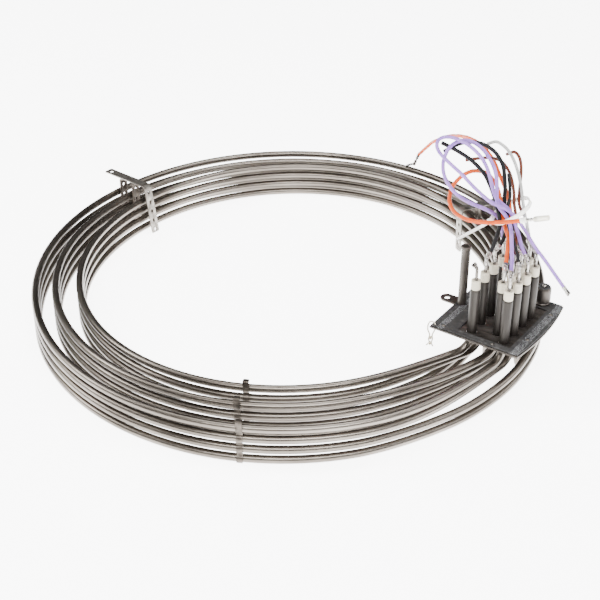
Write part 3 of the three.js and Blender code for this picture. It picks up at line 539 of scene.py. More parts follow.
round_part = circle(44)[3:-2] * 0.0065
eye_outline = np.vstack([[[0.009, -0.0022]], [[0.009, 0.0022]], round_part])
ring_lug = sheet_piece("ring_lug_eye", flat_sheet(eye_outline, [ring_of((0, 0), 0.0032)], 0.0012, 0.0002),
                       on_lug, dark_tin, ["connector_ring"])
lug_neck = lug_centre + lug_forward * 0.009
barrel_way = (lug_neck - lug_start) / np.linalg.norm(lug_neck - lug_start)
barrel_length = np.linalg.norm(lug_neck - lug_start)
runs = np.linspace(0.0012, barrel_length + 0.001, 40)
share = (runs - runs[0]) / (runs[-1] - runs[0])
crimped = 0.0021 - 0.0005 * waist(share, 0.24, 0.05) - 0.0005 * waist(share, 0.8, 0.06)
crimped = np.where((share > 0.38) & (share < 0.62), 0.0012, crimped)
barrel = pressed(straight(lug_start, barrel_way, runs), crimped, crimped * 0.9, seam=0.2)
ring_barrel = piece("ring_lug_barrel", [barrel], dark_tin)

# The boot's sleeve, neck and cover follow the lead's last stretch.
boot_start, boot_way = end_of(LEAD_ORANGE_2)


def sleeve_print():
    """White heat-shrink sleeve with one coloured band."""
    material, nodes, links, shader = material_start("white_sleeve")
    place = nodes.new("ShaderNodeTexCoord")
    split = nodes.new("ShaderNodeSeparateXYZ")
    links.new(place.outputs["UV"], split.inputs["Vector"])
    colour = ramp(nodes, links, split.outputs["Y"],
                  [(0.0, (0.85, 0.84, 0.8)), (0.0041, (0.85, 0.84, 0.8)), (0.0043, (0.8, 0.3, 0.1)),
                   (0.0052, (0.8, 0.3, 0.1)), (0.0054, (0.85, 0.84, 0.8))])
    links.new(colour, shader.inputs["Base Color"])
    shader.inputs["Roughness"].default_value = 0.4
    relief(nodes, links, shader, mottle(nodes, links, place.outputs["Object"], 500, 2), 0.1, 0.0002)
    return material


def soft_boot():
    """Clear soft vinyl gone a little milky."""
    material, nodes, links, shader = material_start("milky_vinyl")
    place = nodes.new("ShaderNodeTexCoord")
    cloud = mottle(nodes, links, place.outputs["Object"], 260, 3)
    paint(nodes, links, shader, "Base Color", cloud,
          (0.3, (0.86, 0.83, 0.7)), (0.7, (0.95, 0.93, 0.84)))
    shader.inputs["Roughness"].default_value = 0.3
    shader.inputs["Transmission Weight"].default_value = 0.55
    shader.inputs["IOR"].default_value = 1.2
    relief(nodes, links, shader, cloud, 0.15, 0.0003)
    return material


runs = np.array([0, 0.0003, 0.001, 0.003, 0.0055, 0.006, 0.0063])
boot_sleeve = piece("boot_sleeve", [tube(straight(boot_start, boot_way, runs),
                    np.array([0.0024, 0.0028, 0.0029, 0.0029, 0.0029, 0.0028, 0.0024]), 20)],
                    sleeve_print(), ["connector_boot"])
runs = np.linspace(0.0062, 0.0175, 34)
neck = 0.0019 - 0.0006 * waist(runs, 0.0095, 0.0007) - 0.0006 * waist(runs, 0.0128, 0.0006)
squeezed = pressed(straight(boot_start, boot_way, runs), neck * 1.1, neck * 0.85, seam=0.25)
boot_neck = piece("boot_neck", [squeezed], tin)
runs = np.array([0.0138, 0.014, 0.0148, 0.0165, 0.02, 0.026, 0.0292, 0.0299, 0.03])
boot_cover = piece("boot_cover", [pressed(straight(boot_start, boot_way, runs),
                   np.array([0.0019, 0.0023, 0.003, 0.0034, 0.0034, 0.0033, 0.0032, 0.003, 0.0024]),
                   np.array([0.0017, 0.002, 0.0024, 0.0025, 0.0025, 0.0024, 0.0023, 0.0021, 0.0017]), 28)],
                   soft_boot())

plug_start, plug_way = end_of(LEAD_PURPLE_2)
runs = np.linspace(0, 0.0045, 14)
crimp = 0.0021 - 0.0005 * waist(runs, 0.0026, 0.0005)
squeezed = pressed(straight(plug_start, plug_way, runs), crimp, crimp * 0.9, seam=0.3)
plug_crimp = piece("receptacle_crimp", [squeezed], tin, ["connector_receptacle"])
runs = np.array([0.0042, 0.0048, 0.0058, 0.009, 0.0102, 0.0105])
plug_body = piece("receptacle_body", [pressed(straight(plug_start, plug_way, runs),
                  np.array([0.0012, 0.0022, 0.0031, 0.0032, 0.0031, 0.0028]),
                  np.array([0.001, 0.001, 0.0012, 0.0012, 0.0012, 0.0009]), 24, 4.5, 0.5)],
                  tin)

for name, points, diameter, end, fitted in (
        ("black_1", LEAD_BLACK_1, 0.0043, "bare", ()),
        ("black_2", LEAD_BLACK_2, 0.0043, "bare", ()),
        ("black_3", LEAD_BLACK_3, 0.0034, "bare", ()),
        ("purple_1", LEAD_PURPLE_1, 0.0039, "object", ()),
        ("purple_2", LEAD_PURPLE_2, 0.0039, "connector", [plug_crimp, plug_body]),
        ("orange_1", LEAD_ORANGE_1, 0.0043, "connector", [ring_lug, ring_barrel]),
        ("orange_2", LEAD_ORANGE_2, 0.0043, "connector", [boot_sleeve, boot_neck, boot_cover]),
        ("brown_1", LEAD_BROWN_1, 0.0034, "bare", ()),
        ("brown_2", LEAD_BROWN_2, 0.0034, "bare", ()),
        ("white_1", LEAD_WHITE_1, 0.0034, "bare", ())):
    lead("lead_" + name, name.split("_")[0], points, diameter)

# ---------------------------------------------------------------- cable tie

# One natural nylon tie drawn tight round the bundle into a flat oval; its square head sits at
# the low end and the toothed tail has been left long.


def nylon(name, colour):
    """Natural nylon: milky white, glossy, slightly see-through at thin edges."""
    material, nodes, links, shader = material_start(name)
    place = nodes.new("ShaderNodeTexCoord")
    flow = mottle(nodes, links, place.outputs["Object"], 160, 3)
    paint(nodes, links, shader, "Base Color", flow,
          (0.3, tuple(0.93 * c for c in colour)), (0.7, colour))
    shader.inputs["Roughness"].default_value = 0.32
    shader.inputs["Subsurface Weight"].default_value = 0.25
    shader.inputs["Subsurface Radius"].default_value = (0.003, 0.003, 0.0025)
    relief(nodes, links, shader, mottle(nodes, links, place.outputs["UV"], 40, 1, (1, 30, 1)), 0.1, 0.0002)
    return material


tie_nylon = nylon("natural_nylon", (0.93, 0.92, 0.88))
tie_centre = np.array([0.2305, -0.1241, 0.1807])
tie_lean = math.radians(32.2)


def on_tie(p):
    """From the tie's own frame, X along the oval and Z across the band, to the row frame."""
    x, y, z = np.moveaxis(np.asarray(p, float), -1, 0)
    c, s = math.cos(tie_lean), math.sin(tie_lean)
    return np.stack([x * c - z * s, y, x * s + z * c], axis=-1) + tie_centre


def band_loop(half_length, half_depth, width, thickness, count=72):
    """Closed band: a rounded slab section carried round an ellipse, set square to it; the last
    station repeats the first and is welded to it."""
    angle = np.linspace(0, 2 * math.pi, count + 1)
    c, s = np.cos(angle), np.sin(angle)
    line = np.column_stack([half_length * c, half_depth * s, 0 * c])
    outward = np.column_stack([half_depth * c, half_length * s, 0 * c])
    outward /= np.linalg.norm(outward, axis=1)[:, None]
    section = slab(thickness, width, 0.3)
    down = np.array([0, 0, -1.0])
    grid = line[:, None] + section[None, :, :1] * outward[:, None] + section[None, :, 1:] * down
    return grid, skin(grid, caps=False)


def weld(made, distance=1e-6):
    shape = bmesh.new()
    shape.from_mesh(made.data)
    bmesh.ops.remove_doubles(shape, verts=shape.verts, dist=distance)
    bmesh.ops.recalc_face_normals(shape, faces=shape.faces)
    shape.to_mesh(made.data)
    shape.free()
    return made


band, band_skin = band_loop(0.02205, 0.01705, 0.0044, 0.0011)
weld(piece("cable_tie_band", [(on_tie(band), band_skin)], tie_nylon, ["cable_tie"]))
low = -0.02205
runs = np.linspace(0, 0.040, 81)
tooth = 0.00012 * (np.arange(81) % 2)
taper = np.clip((0.0402 - runs) / 0.006, 0.25, 1) ** 0.5
tail_line = np.column_stack([low - 0.002 - runs, 0 * runs, 0 * runs])
section = slab(1, 1, 0.25)
tail = tail_line[:, None] + np.stack([
    np.zeros((81, len(section))),
    section[None, :, 0] * (0.0012 - tooth)[:, None],
    section[None, :, 1] * 0.0034 * taper[:, None]], axis=2)
piece_tail = piece("cable_tie_tail", [(on_tie(tail), skin(tail))], tie_nylon)
runs = np.array([0, 0.0003, 0.0009, 0.0041, 0.0047, 0.005])
grow = np.array([0.82, 0.94, 1, 1, 0.94, 0.82])
head_line = np.column_stack([low + 0.0005 - runs, 0 * runs, 0 * runs])
section = slab(0.0062, 0.006, 0.18)
head = head_line[:, None] + np.stack([
    np.zeros((6, len(section))),
    section[None, :, 0] * grow[:, None],
    section[None, :, 1] * grow[:, None]], axis=2)
piece_head = piece("cable_tie_head", [(on_tie(head), skin(head))], tie_nylon)
for made in (piece_tail, piece_head):
    weld(made)

# ---------------------------------------------------------------- tag string

# A loop of twisted cotton string through the flange's corner hole, closed with two small knots
# and cut with two short tails, where a paper tag hung.

TAG_STRING = [
    (0.147, -0.16, 0.0375), (0.1502, -0.1592, 0.0405), (0.1493, -0.159, 0.045),
    (0.1504, -0.1584, 0.0495), (0.1482, -0.157, 0.0555), (0.1484, -0.1563, 0.061),
    (0.15, -0.1564, 0.0647), (0.1528, -0.1578, 0.0658), (0.1552, -0.1592, 0.0644),
    (0.1557, -0.1595, 0.061), (0.155, -0.1598, 0.056), (0.1528, -0.1608, 0.051),
    (0.1532, -0.1614, 0.046), (0.1522, -0.1612, 0.041), (0.1542, -0.1608, 0.0368),
]


def cotton():
    """Twisted cotton twine: cream, with slanting strands and a dusty, fibrous face."""
    material, nodes, links, shader = material_start("cotton_twine")
    place = nodes.new("ShaderNodeTexCoord")
    mapping = nodes.new("ShaderNodeMapping")
    mapping.inputs["Scale"].default_value = (3, 900, 1)
    mapping.inputs["Rotation"].default_value = (0, 0, 0.004)
    links.new(place.outputs["UV"], mapping.inputs["Vector"])
    wave = nodes.new("ShaderNodeTexWave")
    wave.inputs["Scale"].default_value = 1
    wave.inputs["Distortion"].default_value = 0.6
    wave.bands_direction = "DIAGONAL"
    links.new(mapping.outputs["Vector"], wave.inputs["Vector"])
    paint(nodes, links, shader, "Base Color", wave.outputs["Fac"],
          (0.1, (0.5, 0.44, 0.32)), (0.6, (0.86, 0.8, 0.66)))
    shader.inputs["Roughness"].default_value = 0.95
    shader.inputs["Specular IOR Level"].default_value = 0.2
    relief(nodes, links, shader, wave.outputs["Fac"], 0.6, 0.0003)
    return material


twine = cotton()
string_route, string_length = smooth_route(TAG_STRING, 0.0007)
string_loop = piece("tag_string_loop", [tube(string_route, 0.00075, 10)], twine, ["tag_string"])
turn = np.linspace(0, 2 * math.pi, 91)
trefoil = np.column_stack([np.sin(turn) + 2 * np.sin(2 * turn), np.sin(3 * turn) * -1,
                           np.cos(turn) - 2 * np.cos(2 * turn)]) * 0.00055
for i, height in enumerate((0.0472, 0.0402)):
    knot = tube(trefoil + (0.1512, -0.1602, height), 0.0007, 10)
    weld(piece(f"tag_string_knot_{i + 1}", [knot], twine), 2e-5)

# ---------------------------------------------------------------- heating elements

# Three nested groups of two elements each: nickel-alloy tube of 8.5 mm, packed with magnesia round
# a resistance wire, drawn, annealed and wound by hand round a former into two turns.


def drawn_alloy():
    """Drawn and annealed nickel-alloy tube: satin, warm grey, with long draw streaks, cloudy
    heat tint and a few rubbed marks."""
    material, nodes, links, shader = material_start("drawn_alloy")
    place = nodes.new("ShaderNodeTexCoord")
    cloud = mottle(nodes, links, place.outputs["Object"], 9, 4)
    streak = mottle(nodes, links, place.outputs["UV"], 1, 3, (34, 5, 1))
    tint = ramp(nodes, links, cloud, [
        (0.32, (0.1, 0.086, 0.073)), (0.5, (0.16, 0.141, 0.121)), (0.68, (0.225, 0.201, 0.176))])
    drag = ramp(nodes, links, streak, [(0.3, grey(0.78)), (0.65, grey(1.0))])
    mix = nodes.new("ShaderNodeMix")
    mix.data_type = "RGBA"
    mix.blend_type = "MULTIPLY"
    mix.inputs["Factor"].default_value = 0.8
    links.new(tint, mix.inputs["A"])
    links.new(drag, mix.inputs["B"])
    links.new(mix.outputs["Result"], shader.inputs["Base Color"])
    paint(nodes, links, shader, "Roughness", streak, (0.3, grey(0.4)), (0.7, grey(0.28)))
    shader.inputs["Metallic"].default_value = 1
    relief(nodes, links, shader, streak, 0.15, 0.0003)
    return material


alloy = drawn_alloy()
TUBE_RADIUS = 0.00425
LAYER_PITCH = 0.0122
FLANGE_ANGLE = math.radians(-35)
PASS_SPAN, PASS_FRONT = math.radians(22), math.radians(42)
LEG_SPAN = math.radians(38)
BEND_RADIUS = 0.018
RING_SHIFT = np.array([-0.0008, 0.0069, 0])
SLEEVE_TOP = 0.113
# Each group's ring is a slightly skewed ellipse: its half-axes, skew and centre, the line that its
# cold ends stand on, how far their bends are aimed at the ring, and the shape of the pass under
# the flange: how far its crest stands out, and the reach of the curve before and after it.
GROUPS = {
    "outer": dict(a=0.2935, b=0.3131, skew=0.0018, x=-0.0001, y=-0.0064, row=0.2975,
                  aim=8, bow=0.0092, swell=1.4, flat=0.8),
    "middle": dict(a=0.271, b=0.2824, skew=0.0028, x=-0.0008, y=0.0003, row=0.285,
                   aim=12, bow=0, swell=1.02, flat=1.02),
    "inner": dict(a=0.2469, b=0.2592, skew=0.0039, x=0.0021, y=0.0068, row=0.26,
                  aim=24, bow=0, swell=1.02, flat=1.02),
}
LEG_PLACES = {
    "outer": (-0.033, -0.013, 0.007, 0.027),
    "middle": (-0.022, -0.002, 0.018, 0.038),
    "inner": (-0.033, -0.013, 0.007, 0.027),
}


def on_flange(p):
    """From the flange's frame, out and along, to the row frame."""
    p = np.asarray(p, float)
    c, s = math.cos(FLANGE_ANGLE), math.sin(FLANGE_ANGLE)
    out, along, z = p[..., 0], p[..., 1], p[..., 2]
    return np.stack([out * c - along * s, out * s + along * c, z], axis=-1) + RING_SHIFT


def ring_points(group, angles, z):
    """Points of a group's ring at the given angles, and the direction of clockwise travel there."""
    g = GROUPS[group]
    c, s = np.cos(angles), np.sin(angles)
    place = np.column_stack([g["x"] + g["a"] * c + g["skew"] * s, g["y"] + g["b"] * s + g["skew"] * c,
                             np.broadcast_to(z, np.shape(angles))]) + RING_SHIFT
    way = np.column_stack([g["a"] * s - g["skew"] * c, g["skew"] * s - g["b"] * c, 0 * c])
    return place, way / np.linalg.norm(way, axis=1)[:, None]


def bridge(start, start_way, end, end_way, reach, count):
    """Points inside a cubic Bezier between two points with their directions of travel."""
    t = np.linspace(0, 1, count + 1)[1:-1, None]
    a, b = start + start_way * reach, end - end_way * reach
    return (1 - t) ** 3 * start + 3 * t * (1 - t) ** 2 * a + 3 * t**2 * (1 - t) * b + t**3 * end


def through_pass(group, high, low):
    """Out to a crest beside the legs, back to the ring by a flatter curve, and down from one
    layer to another on a smoothstep, evenly about the crest."""
    g = GROUPS[group]
    place, way = ring_points(group, FLANGE_ANGLE + np.array([PASS_SPAN, 0, -PASS_FRONT]), 0)
    place[1] += g["bow"] * np.array([-way[1, 1], way[1, 0], 0])
    before, after = np.linalg.norm(place[0] - place[1]), np.linalg.norm(place[1] - place[2])
    points = np.vstack([
        place[:1], bridge(place[0], way[0], place[1], way[1], before / 3 * g["swell"], 20), place[1:2],
        bridge(place[1], way[1], place[2], way[2], after / 3 * g["flat"], 32), place[2:]])
    run = np.concatenate([[0], np.cumsum(np.linalg.norm(np.diff(points, axis=0), axis=1))])
    sink = np.clip((run / (2 * before) - 0.04) / 0.92, 0, 1)
    points[:, 2] = high + (low - high) * sink * sink * (3 - 2 * sink)
    return points[1:-1]


def element_path(group, front_leg, back_leg, upper, lower):
    """Down a front leg, round the upper layer, under the flange to the lower layer, round again
    and up a back leg."""
    g = GROUPS[group]
    high, low = TUBE_RADIUS + LAYER_PITCH * upper, TUBE_RADIUS + LAYER_PITCH * lower
    first, last = FLANGE_ANGLE - LEG_SPAN, FLANGE_ANGLE - 2 * math.pi + LEG_SPAN
    turn = np.linspace(0, math.pi / 2, 12)
    aim = math.radians(g["aim"])

    def leg(place, z, side):
        reach, fall = BEND_RADIUS * (1 - np.cos(turn)), BEND_RADIUS * (1 - np.sin(turn))
        out, along = g["row"] - reach * math.sin(aim), place + side * reach * math.cos(aim)
        bend = np.column_stack([out, along, z + fall])
        drop = np.linspace(SLEEVE_TOP - 0.001, z + BEND_RADIUS + 0.002, 4)
        return on_flange(np.vstack([[[g["row"], place, height] for height in drop], bend]))

    down = leg(LEG_PLACES[group][front_leg], high, -1)
    up = leg(LEG_PLACES[group][back_leg], low, 1)[::-1]
    ways = on_flange([[s * math.sin(aim), -math.cos(aim), 0] for s in (-1, 1)]) - on_flange([[0, 0, 0]])
    upper_run, upper_way = ring_points(
        group, np.linspace(first, FLANGE_ANGLE - 2 * math.pi + PASS_SPAN, 121), high)
    lower_run, lower_way = ring_points(group, np.linspace(FLANGE_ANGLE - PASS_FRONT, last, 121), low)
    span = np.linalg.norm
    return np.vstack([
        down,
        bridge(down[-1], ways[0], upper_run[0], upper_way[0], span(down[-1] - upper_run[0]) / 3, 16),
        upper_run,
        through_pass(group, high, low),
        lower_run,
        bridge(lower_run[-1], lower_way[-1], up[0], ways[1], span(up[0] - lower_run[-1]) / 3, 16),
        up,
    ])


for group in GROUPS:
    for turns, legs, layers in (("upper", (0, 3), (3, 1)), ("lower", (1, 2), (2, 0))):
        name = f"element_{group}_{turns}"
        piece(name + "_tube", [tube(element_path(group, *legs, *layers), TUBE_RADIUS, 20)], alloy,
              [name])

# ---------------------------------------------------------------- cold ends

# Where a tube passes the flange it is swaged into a thicker sleeve of dull oxidised steel, brazed
# to the flange from below. The last millimetre is turned down to a shoulder for the bead.


def oxidised_sleeve():
    """Sleeve steel blackened by brazing: nearly matt, brown-black, paler where handled."""
    material, nodes, links, shader = material_start("oxidised_sleeve")
    place = nodes.new("ShaderNodeTexCoord")
    long_marks = mottle(nodes, links, place.outputs["Object"], 90, 3, (1, 1, 0.12))
    paint(nodes, links, shader, "Base Color", long_marks,
          (0.3, (0.016, 0.0135, 0.0115)), (0.7, (0.04, 0.035, 0.03)))
    paint(nodes, links, shader, "Roughness", long_marks, (0.3, grey(0.55)), (0.7, grey(0.4)))
    shader.inputs["Metallic"].default_value = 0.6
    relief(nodes, links, shader, mottle(nodes, links, place.outputs["Object"], 420, 3), 0.15, 0.0002)
    return material


def turned(profile, segments, ring=False):
    """Points and skin of a profile of (radius, height) pairs turned about the vertical axis; the
    profile climbs its outer side, and a ring's last pair joins its first."""
    profile = np.array(profile, float)
    if ring:
        profile = np.vstack([profile, profile[:1]])
    turn = circle(segments)
    heights = np.broadcast_to(profile[:, None, 1:], (len(profile), segments, 1))
    grid = np.concatenate([profile[:, None, :1] * turn[None], heights], axis=2)
    return grid, skin(grid, caps=not ring)


sleeve_steel = oxidised_sleeve()
sleeve_grid, sleeve_skin = turned([(0.0046, 0.0572), (0.0052, 0.0578), (0.0052, 0.1116), (0.005, 0.1122),
                                   (0.0046, 0.1124), (0.0046, 0.113), (0.003, 0.113)], 32)
for group, places in LEG_PLACES.items():
    piece(f"cold_ends_{group}", [(on_flange(sleeve_grid + [GROUPS[group]["row"], along, 0]), sleeve_skin)
                                 for along in places], sleeve_steel)

# ---------------------------------------------------------------- flange plate and gasket

# A laser-cut steel plate with an ear at its inner edge, and on it a compressed fibre gasket held by
# four small rivets, with a pale speckled stripe along two of its edges.


def flange_steel():
    """Cold-rolled plate browned by brazing: satin, cloudy, with fine scratches."""
    material, nodes, links, shader = material_start("browned_plate")
    place = nodes.new("ShaderNodeTexCoord")
    cloud = mottle(nodes, links, place.outputs["Object"], 28, 5)
    paint(nodes, links, shader, "Base Color", cloud,
          (0.3, (0.05, 0.043, 0.037)), (0.55, (0.085, 0.075, 0.067)), (0.75, (0.13, 0.118, 0.108)))
    scratch = mottle(nodes, links, place.outputs["Object"], 240, 2, (1, 0.12, 1))
    paint(nodes, links, shader, "Roughness", scratch, (0.3, grey(0.5)), (0.7, grey(0.32)))
    shader.inputs["Metallic"].default_value = 0.85
    relief(nodes, links, shader, scratch, 0.12, 0.0002)
    return material


def gasket_fibre():
    """Compressed fibre board: charcoal, felted, with pale specks in one stripe along the inner edge and one
    along the outer edge."""
    material, nodes, links, shader = material_start("compressed_fibre")
    place = nodes.new("ShaderNodeTexCoord")
    lie = nodes.new("ShaderNodeMapping")
    lie.vector_type = "POINT"
    lie.inputs["Rotation"].default_value = (0, 0, -FLANGE_ANGLE)
    links.new(place.outputs["Object"], lie.inputs["Vector"])
    split = nodes.new("ShaderNodeSeparateXYZ")
    links.new(lie.outputs["Vector"], split.inputs["Vector"])

    def window(value, low, high):
        above = nodes.new("ShaderNodeMath")
        above.operation = "GREATER_THAN"
        above.inputs[1].default_value = low
        below = nodes.new("ShaderNodeMath")
        below.operation = "LESS_THAN"
        below.inputs[1].default_value = high
        both = nodes.new("ShaderNodeMath")
        both.operation = "MULTIPLY"
        links.new(value, above.inputs[0])
        links.new(value, below.inputs[0])
        links.new(above.outputs[0], both.inputs[0])
        links.new(below.outputs[0], both.inputs[1])
        return both.outputs[0]

    inner = window(split.outputs["X"], 0.2225, 0.2295)
    outer = window(split.outputs["X"], 0.3085, 0.3165)
    stripes = nodes.new("ShaderNodeMath")
    stripes.operation = "MAXIMUM"
    links.new(inner, stripes.inputs[0])
    links.new(outer, stripes.inputs[1])
    stipple = nodes.new("ShaderNodeTexVoronoi")
    stipple.inputs["Scale"].default_value = 1100
    links.new(lie.outputs["Vector"], stipple.inputs["Vector"])
    marks = nodes.new("ShaderNodeMath")
    marks.operation = "LESS_THAN"
    marks.inputs[1].default_value = 0.42
    links.new(stipple.outputs["Distance"], marks.inputs[0])
    pale = nodes.new("ShaderNodeMath")
    pale.operation = "MULTIPLY"
    links.new(stripes.outputs[0], pale.inputs[0])
    links.new(marks.outputs[0], pale.inputs[1])
    felt = mottle(nodes, links, place.outputs["Object"], 150, 6)
    board = ramp(nodes, links, felt, [
        (0.3, (0.009, 0.0085, 0.008)), (0.55, (0.02, 0.019, 0.018)), (0.75, (0.06, 0.057, 0.054))])
    mix = nodes.new("ShaderNodeMix")
    mix.data_type = "RGBA"
    links.new(pale.outputs[0], mix.inputs["Factor"])
    links.new(board, mix.inputs["A"])
    mix.inputs["B"].default_value = (0.2, 0.205, 0.215, 1)
    links.new(mix.outputs["Result"], shader.inputs["Base Color"])
    shader.inputs["Roughness"].default_value = 0.75
    relief(nodes, links, shader, felt, 0.35, 0.0004)
    return material


def flange_outline(inset):
    """The plate's outline in its own frame: three straight sides and an arc about the rings."""
    inner, arc, front, back = 0.219 + inset, 0.326 - inset, -0.051 + inset, 0.066 - inset
    sweep = np.linspace(math.asin(front / arc), math.asin(back / arc), 30)
    outer = np.column_stack([np.cos(sweep), np.sin(sweep)]) * arc
    return np.vstack([[[inner, front]], outer, [[inner, back]]])


def laid(height):
    """Lays a flat sheet in the flange's frame at the given height."""
    return lambda p: on_flange(p + [0, 0, height])


leg_spots = [(GROUPS[group]["row"], along) for group, places in LEG_PLACES.items() for along in places]
ear_turn = np.linspace(math.pi / 2, 3 * math.pi / 2, 18)
ear = np.column_stack([np.cos(ear_turn), np.sin(ear_turn)]) * 0.0075 + [0.2055, 0.0115]
outline = flange_outline(0)
plate_outline = np.vstack([outline[:-1], [[0.219, 0.066], [0.219, 0.019]], ear, [[0.219, 0.004]]])
plate_holes = [ring_of(spot, 0.0055) for spot in leg_spots]
plate_holes += [ring_of((0.2055, 0.0115), 0.0032), ring_of((0.2235, -0.0465), 0.0018, 16)]
plate_steel = flange_steel()
sheet_piece("flange_plate_steel", flat_sheet(plate_outline, plate_holes, 0.002, 0.0003), laid(0.061),
            plate_steel, ["flange_plate"])
RIVETS = ((0.232, -0.044), (0.291, -0.046), (0.317, -0.018), (0.316, 0.040))
gasket_window = np.array([(0.248, -0.042), (0.309, -0.042), (0.309, 0.047), (0.248, 0.047)])
gasket_holes = [gasket_window, ring_of((0.226, 0.007), 0.005), ring_of((0.2975, 0.058), 0.0086),
                ring_of((0.2235, -0.0465), 0.0018, 16)]
gasket_holes += [ring_of(spot, 0.0016, 14) for spot in RIVETS]
sheet_piece("flange_gasket_board", flat_sheet(flange_outline(0.0012), gasket_holes, 0.0015, 0.0001),
            laid(0.06305), gasket_fibre(), ["flange_gasket"])
rivet_grid, rivet_skin = turned([(0.0015, 0.0617), (0.0015, 0.0638), (0.0024, 0.06385), (0.0023, 0.0642),
                                 (0.0016, 0.0646), (0.0006, 0.0648)], 18)
piece("flange_rivets", [(on_flange(rivet_grid + [*spot, 0]), rivet_skin) for spot in RIVETS],
      dark_tin)

# ---------------------------------------------------------------- beads and terminals

# Each cold end is closed by a steatite bead, out of which the terminal pin stands. A flat tab is
# welded to the pin, and the lead's receptacle is pushed on it and crimped.


def steatite():
    """Unglazed steatite: cream, close-grained, slightly waxy, with a few dark specks."""
    material, nodes, links, shader = material_start("steatite")
    place = nodes.new("ShaderNodeTexCoord")
    grain = mottle(nodes, links, place.outputs["Object"], 900, 3)
    paint(nodes, links, shader, "Base Color", grain,
          (0.24, (0.25, 0.21, 0.15)), (0.32, (0.5, 0.45, 0.35)), (0.7, (0.58, 0.53, 0.42)))
    shader.inputs["Roughness"].default_value = 0.5
    relief(nodes, links, shader, grain, 0.1, 0.0002)
    return material


ceramic = steatite()
BEAD_BOTTOM = SLEEVE_TOP + 0.0003
bead_grid, bead_skin = turned([
    (0.0022, 0), (0.0043, 0), (0.0049, 0.0006), (0.0049, 0.0076), (0.0045, 0.0081), (0.0045, 0.0086),
    (0.0049, 0.0091), (0.0049, 0.0105), (0.0045, 0.011), (0.0022, 0.011)], 32, ring=True)
TAB_BOTTOM = BEAD_BOTTOM + 0.014
pin_grid, pin_skin = turned([(0.0016, BEAD_BOTTOM), (0.0016, TAB_BOTTOM + 0.0004),
                             (0.0012, TAB_BOTTOM + 0.001)], 16)
tab_line = straight((0, 0, TAB_BOTTOM), (0, 0, 1), np.array([0, 0.0004, 0.0085, 0.01]))
LEAD_AT = {
    "inner_2": "lead_black_1", "inner_3": "lead_black_2", "outer_2": "lead_black_3",
    "outer_1": "lead_purple_1", "outer_3": "lead_purple_2", "middle_1": "lead_orange_1",
    "middle_3": "lead_orange_2", "middle_4": "lead_brown_1", "middle_2": "lead_brown_2",
    "outer_4": "lead_white_1",
}


def crimped_receptacle(spot, route):
    """A receptacle round the tab, a narrow neck, then two crimps round the lead's first stretch."""
    base = on_flange([[*spot, 0]])[0]
    tab = base + [0, 0, TAB_BOTTOM + 0.001]
    climb = np.linspace(0, 0.0075, 9)
    stem = straight(tab, (0, 0, 1), climb)
    if route is None:
        bend = np.linspace(0, 1, 12)[1:, None]
        reach = np.array([-0.004, 0.003, 0])
        crimp = stem[-1] + bend * [0, 0, 0.006] + bend**2 * reach
    else:
        crimp = route[:6]
        crimp = np.vstack([[stem[-1] * 0.5 + crimp[0] * 0.5], crimp])
    path = np.vstack([stem, crimp])
    run = np.concatenate([[0], np.cumsum(np.linalg.norm(np.diff(path, axis=0), axis=1))])
    even = np.linspace(0, run[-1], 34)
    path = np.column_stack([np.interp(even, run, path[:, i]) for i in range(3)])
    share = even / even[-1]
    stations = [0, 0.03, 0.44, 0.5, 0.56, 0.62, 0.72, 0.76, 0.8, 0.97, 1]
    widths = [3.0, 3.4, 3.4, 3.1, 1.6, 2.4, 2.4, 2.0, 2.9, 2.9, 2.7]
    depths = [1.1, 1.4, 1.4, 1.3, 1.2, 2.1, 2.1, 1.8, 2.8, 2.8, 2.6]
    widths, depths = (np.interp(share, stations, size) / 1000 for size in (widths, depths))
    return pressed(path, widths, depths, 22, 3.0, 0.35)


for group, places in LEG_PLACES.items():
    for i, along in enumerate(places):
        name, spot = f"{group}_{i + 1}", (GROUPS[group]["row"], along)
        weld(piece("bead_" + name + "_steatite", [(on_flange(bead_grid + [*spot, BEAD_BOTTOM]), bead_skin)],
                   ceramic, ["bead_" + name]))
        tab_grid, tab_skin = pressed(tab_line, np.array([0.0024, 0.0025, 0.0025, 0.002]),
                                     np.array([0.0005, 0.0006, 0.0006, 0.0004]), 16, 6)
        piece("terminal_" + name + "_tab", [(on_flange(pin_grid + [*spot, 0]), pin_skin),
              (on_flange(tab_grid + [*spot, 0]), tab_skin)], dark_tin, ["terminal_" + name])
        route = lead_routes.get(LEAD_AT.get(name))
        if name == "inner_4":
            route = lead_routes["lead_purple_1"][::-1]
        grid, faces = crimped_receptacle(spot, route)
        piece("receptacle_" + name, [(grid, faces)], tin if name != "inner_1" else dark_tin)

# ---------------------------------------------------------------- sensor pocket and gland

# The pocket is a closed tube for a temperature sensor, with a flared collar at its mouth. The
# gland beside it is a turned steel body with a rubber ring and a plated pin.


def satin_pocket():
    """Turned and brushed steel: fine rings round the axis over a warm grey."""
    material, nodes, links, shader = material_start("turned_steel")
    place = nodes.new("ShaderNodeTexCoord")
    rings = mottle(nodes, links, place.outputs["Object"], 60, 2, (1, 1, 8))
    cloud = mottle(nodes, links, place.outputs["Object"], 45, 3)
    paint(nodes, links, shader, "Base Color", cloud,
          (0.3, (0.05, 0.042, 0.036)), (0.7, (0.095, 0.083, 0.072)))
    paint(nodes, links, shader, "Roughness", rings, (0.3, grey(0.6)), (0.7, grey(0.48)))
    shader.inputs["Metallic"].default_value = 0.6
    return material


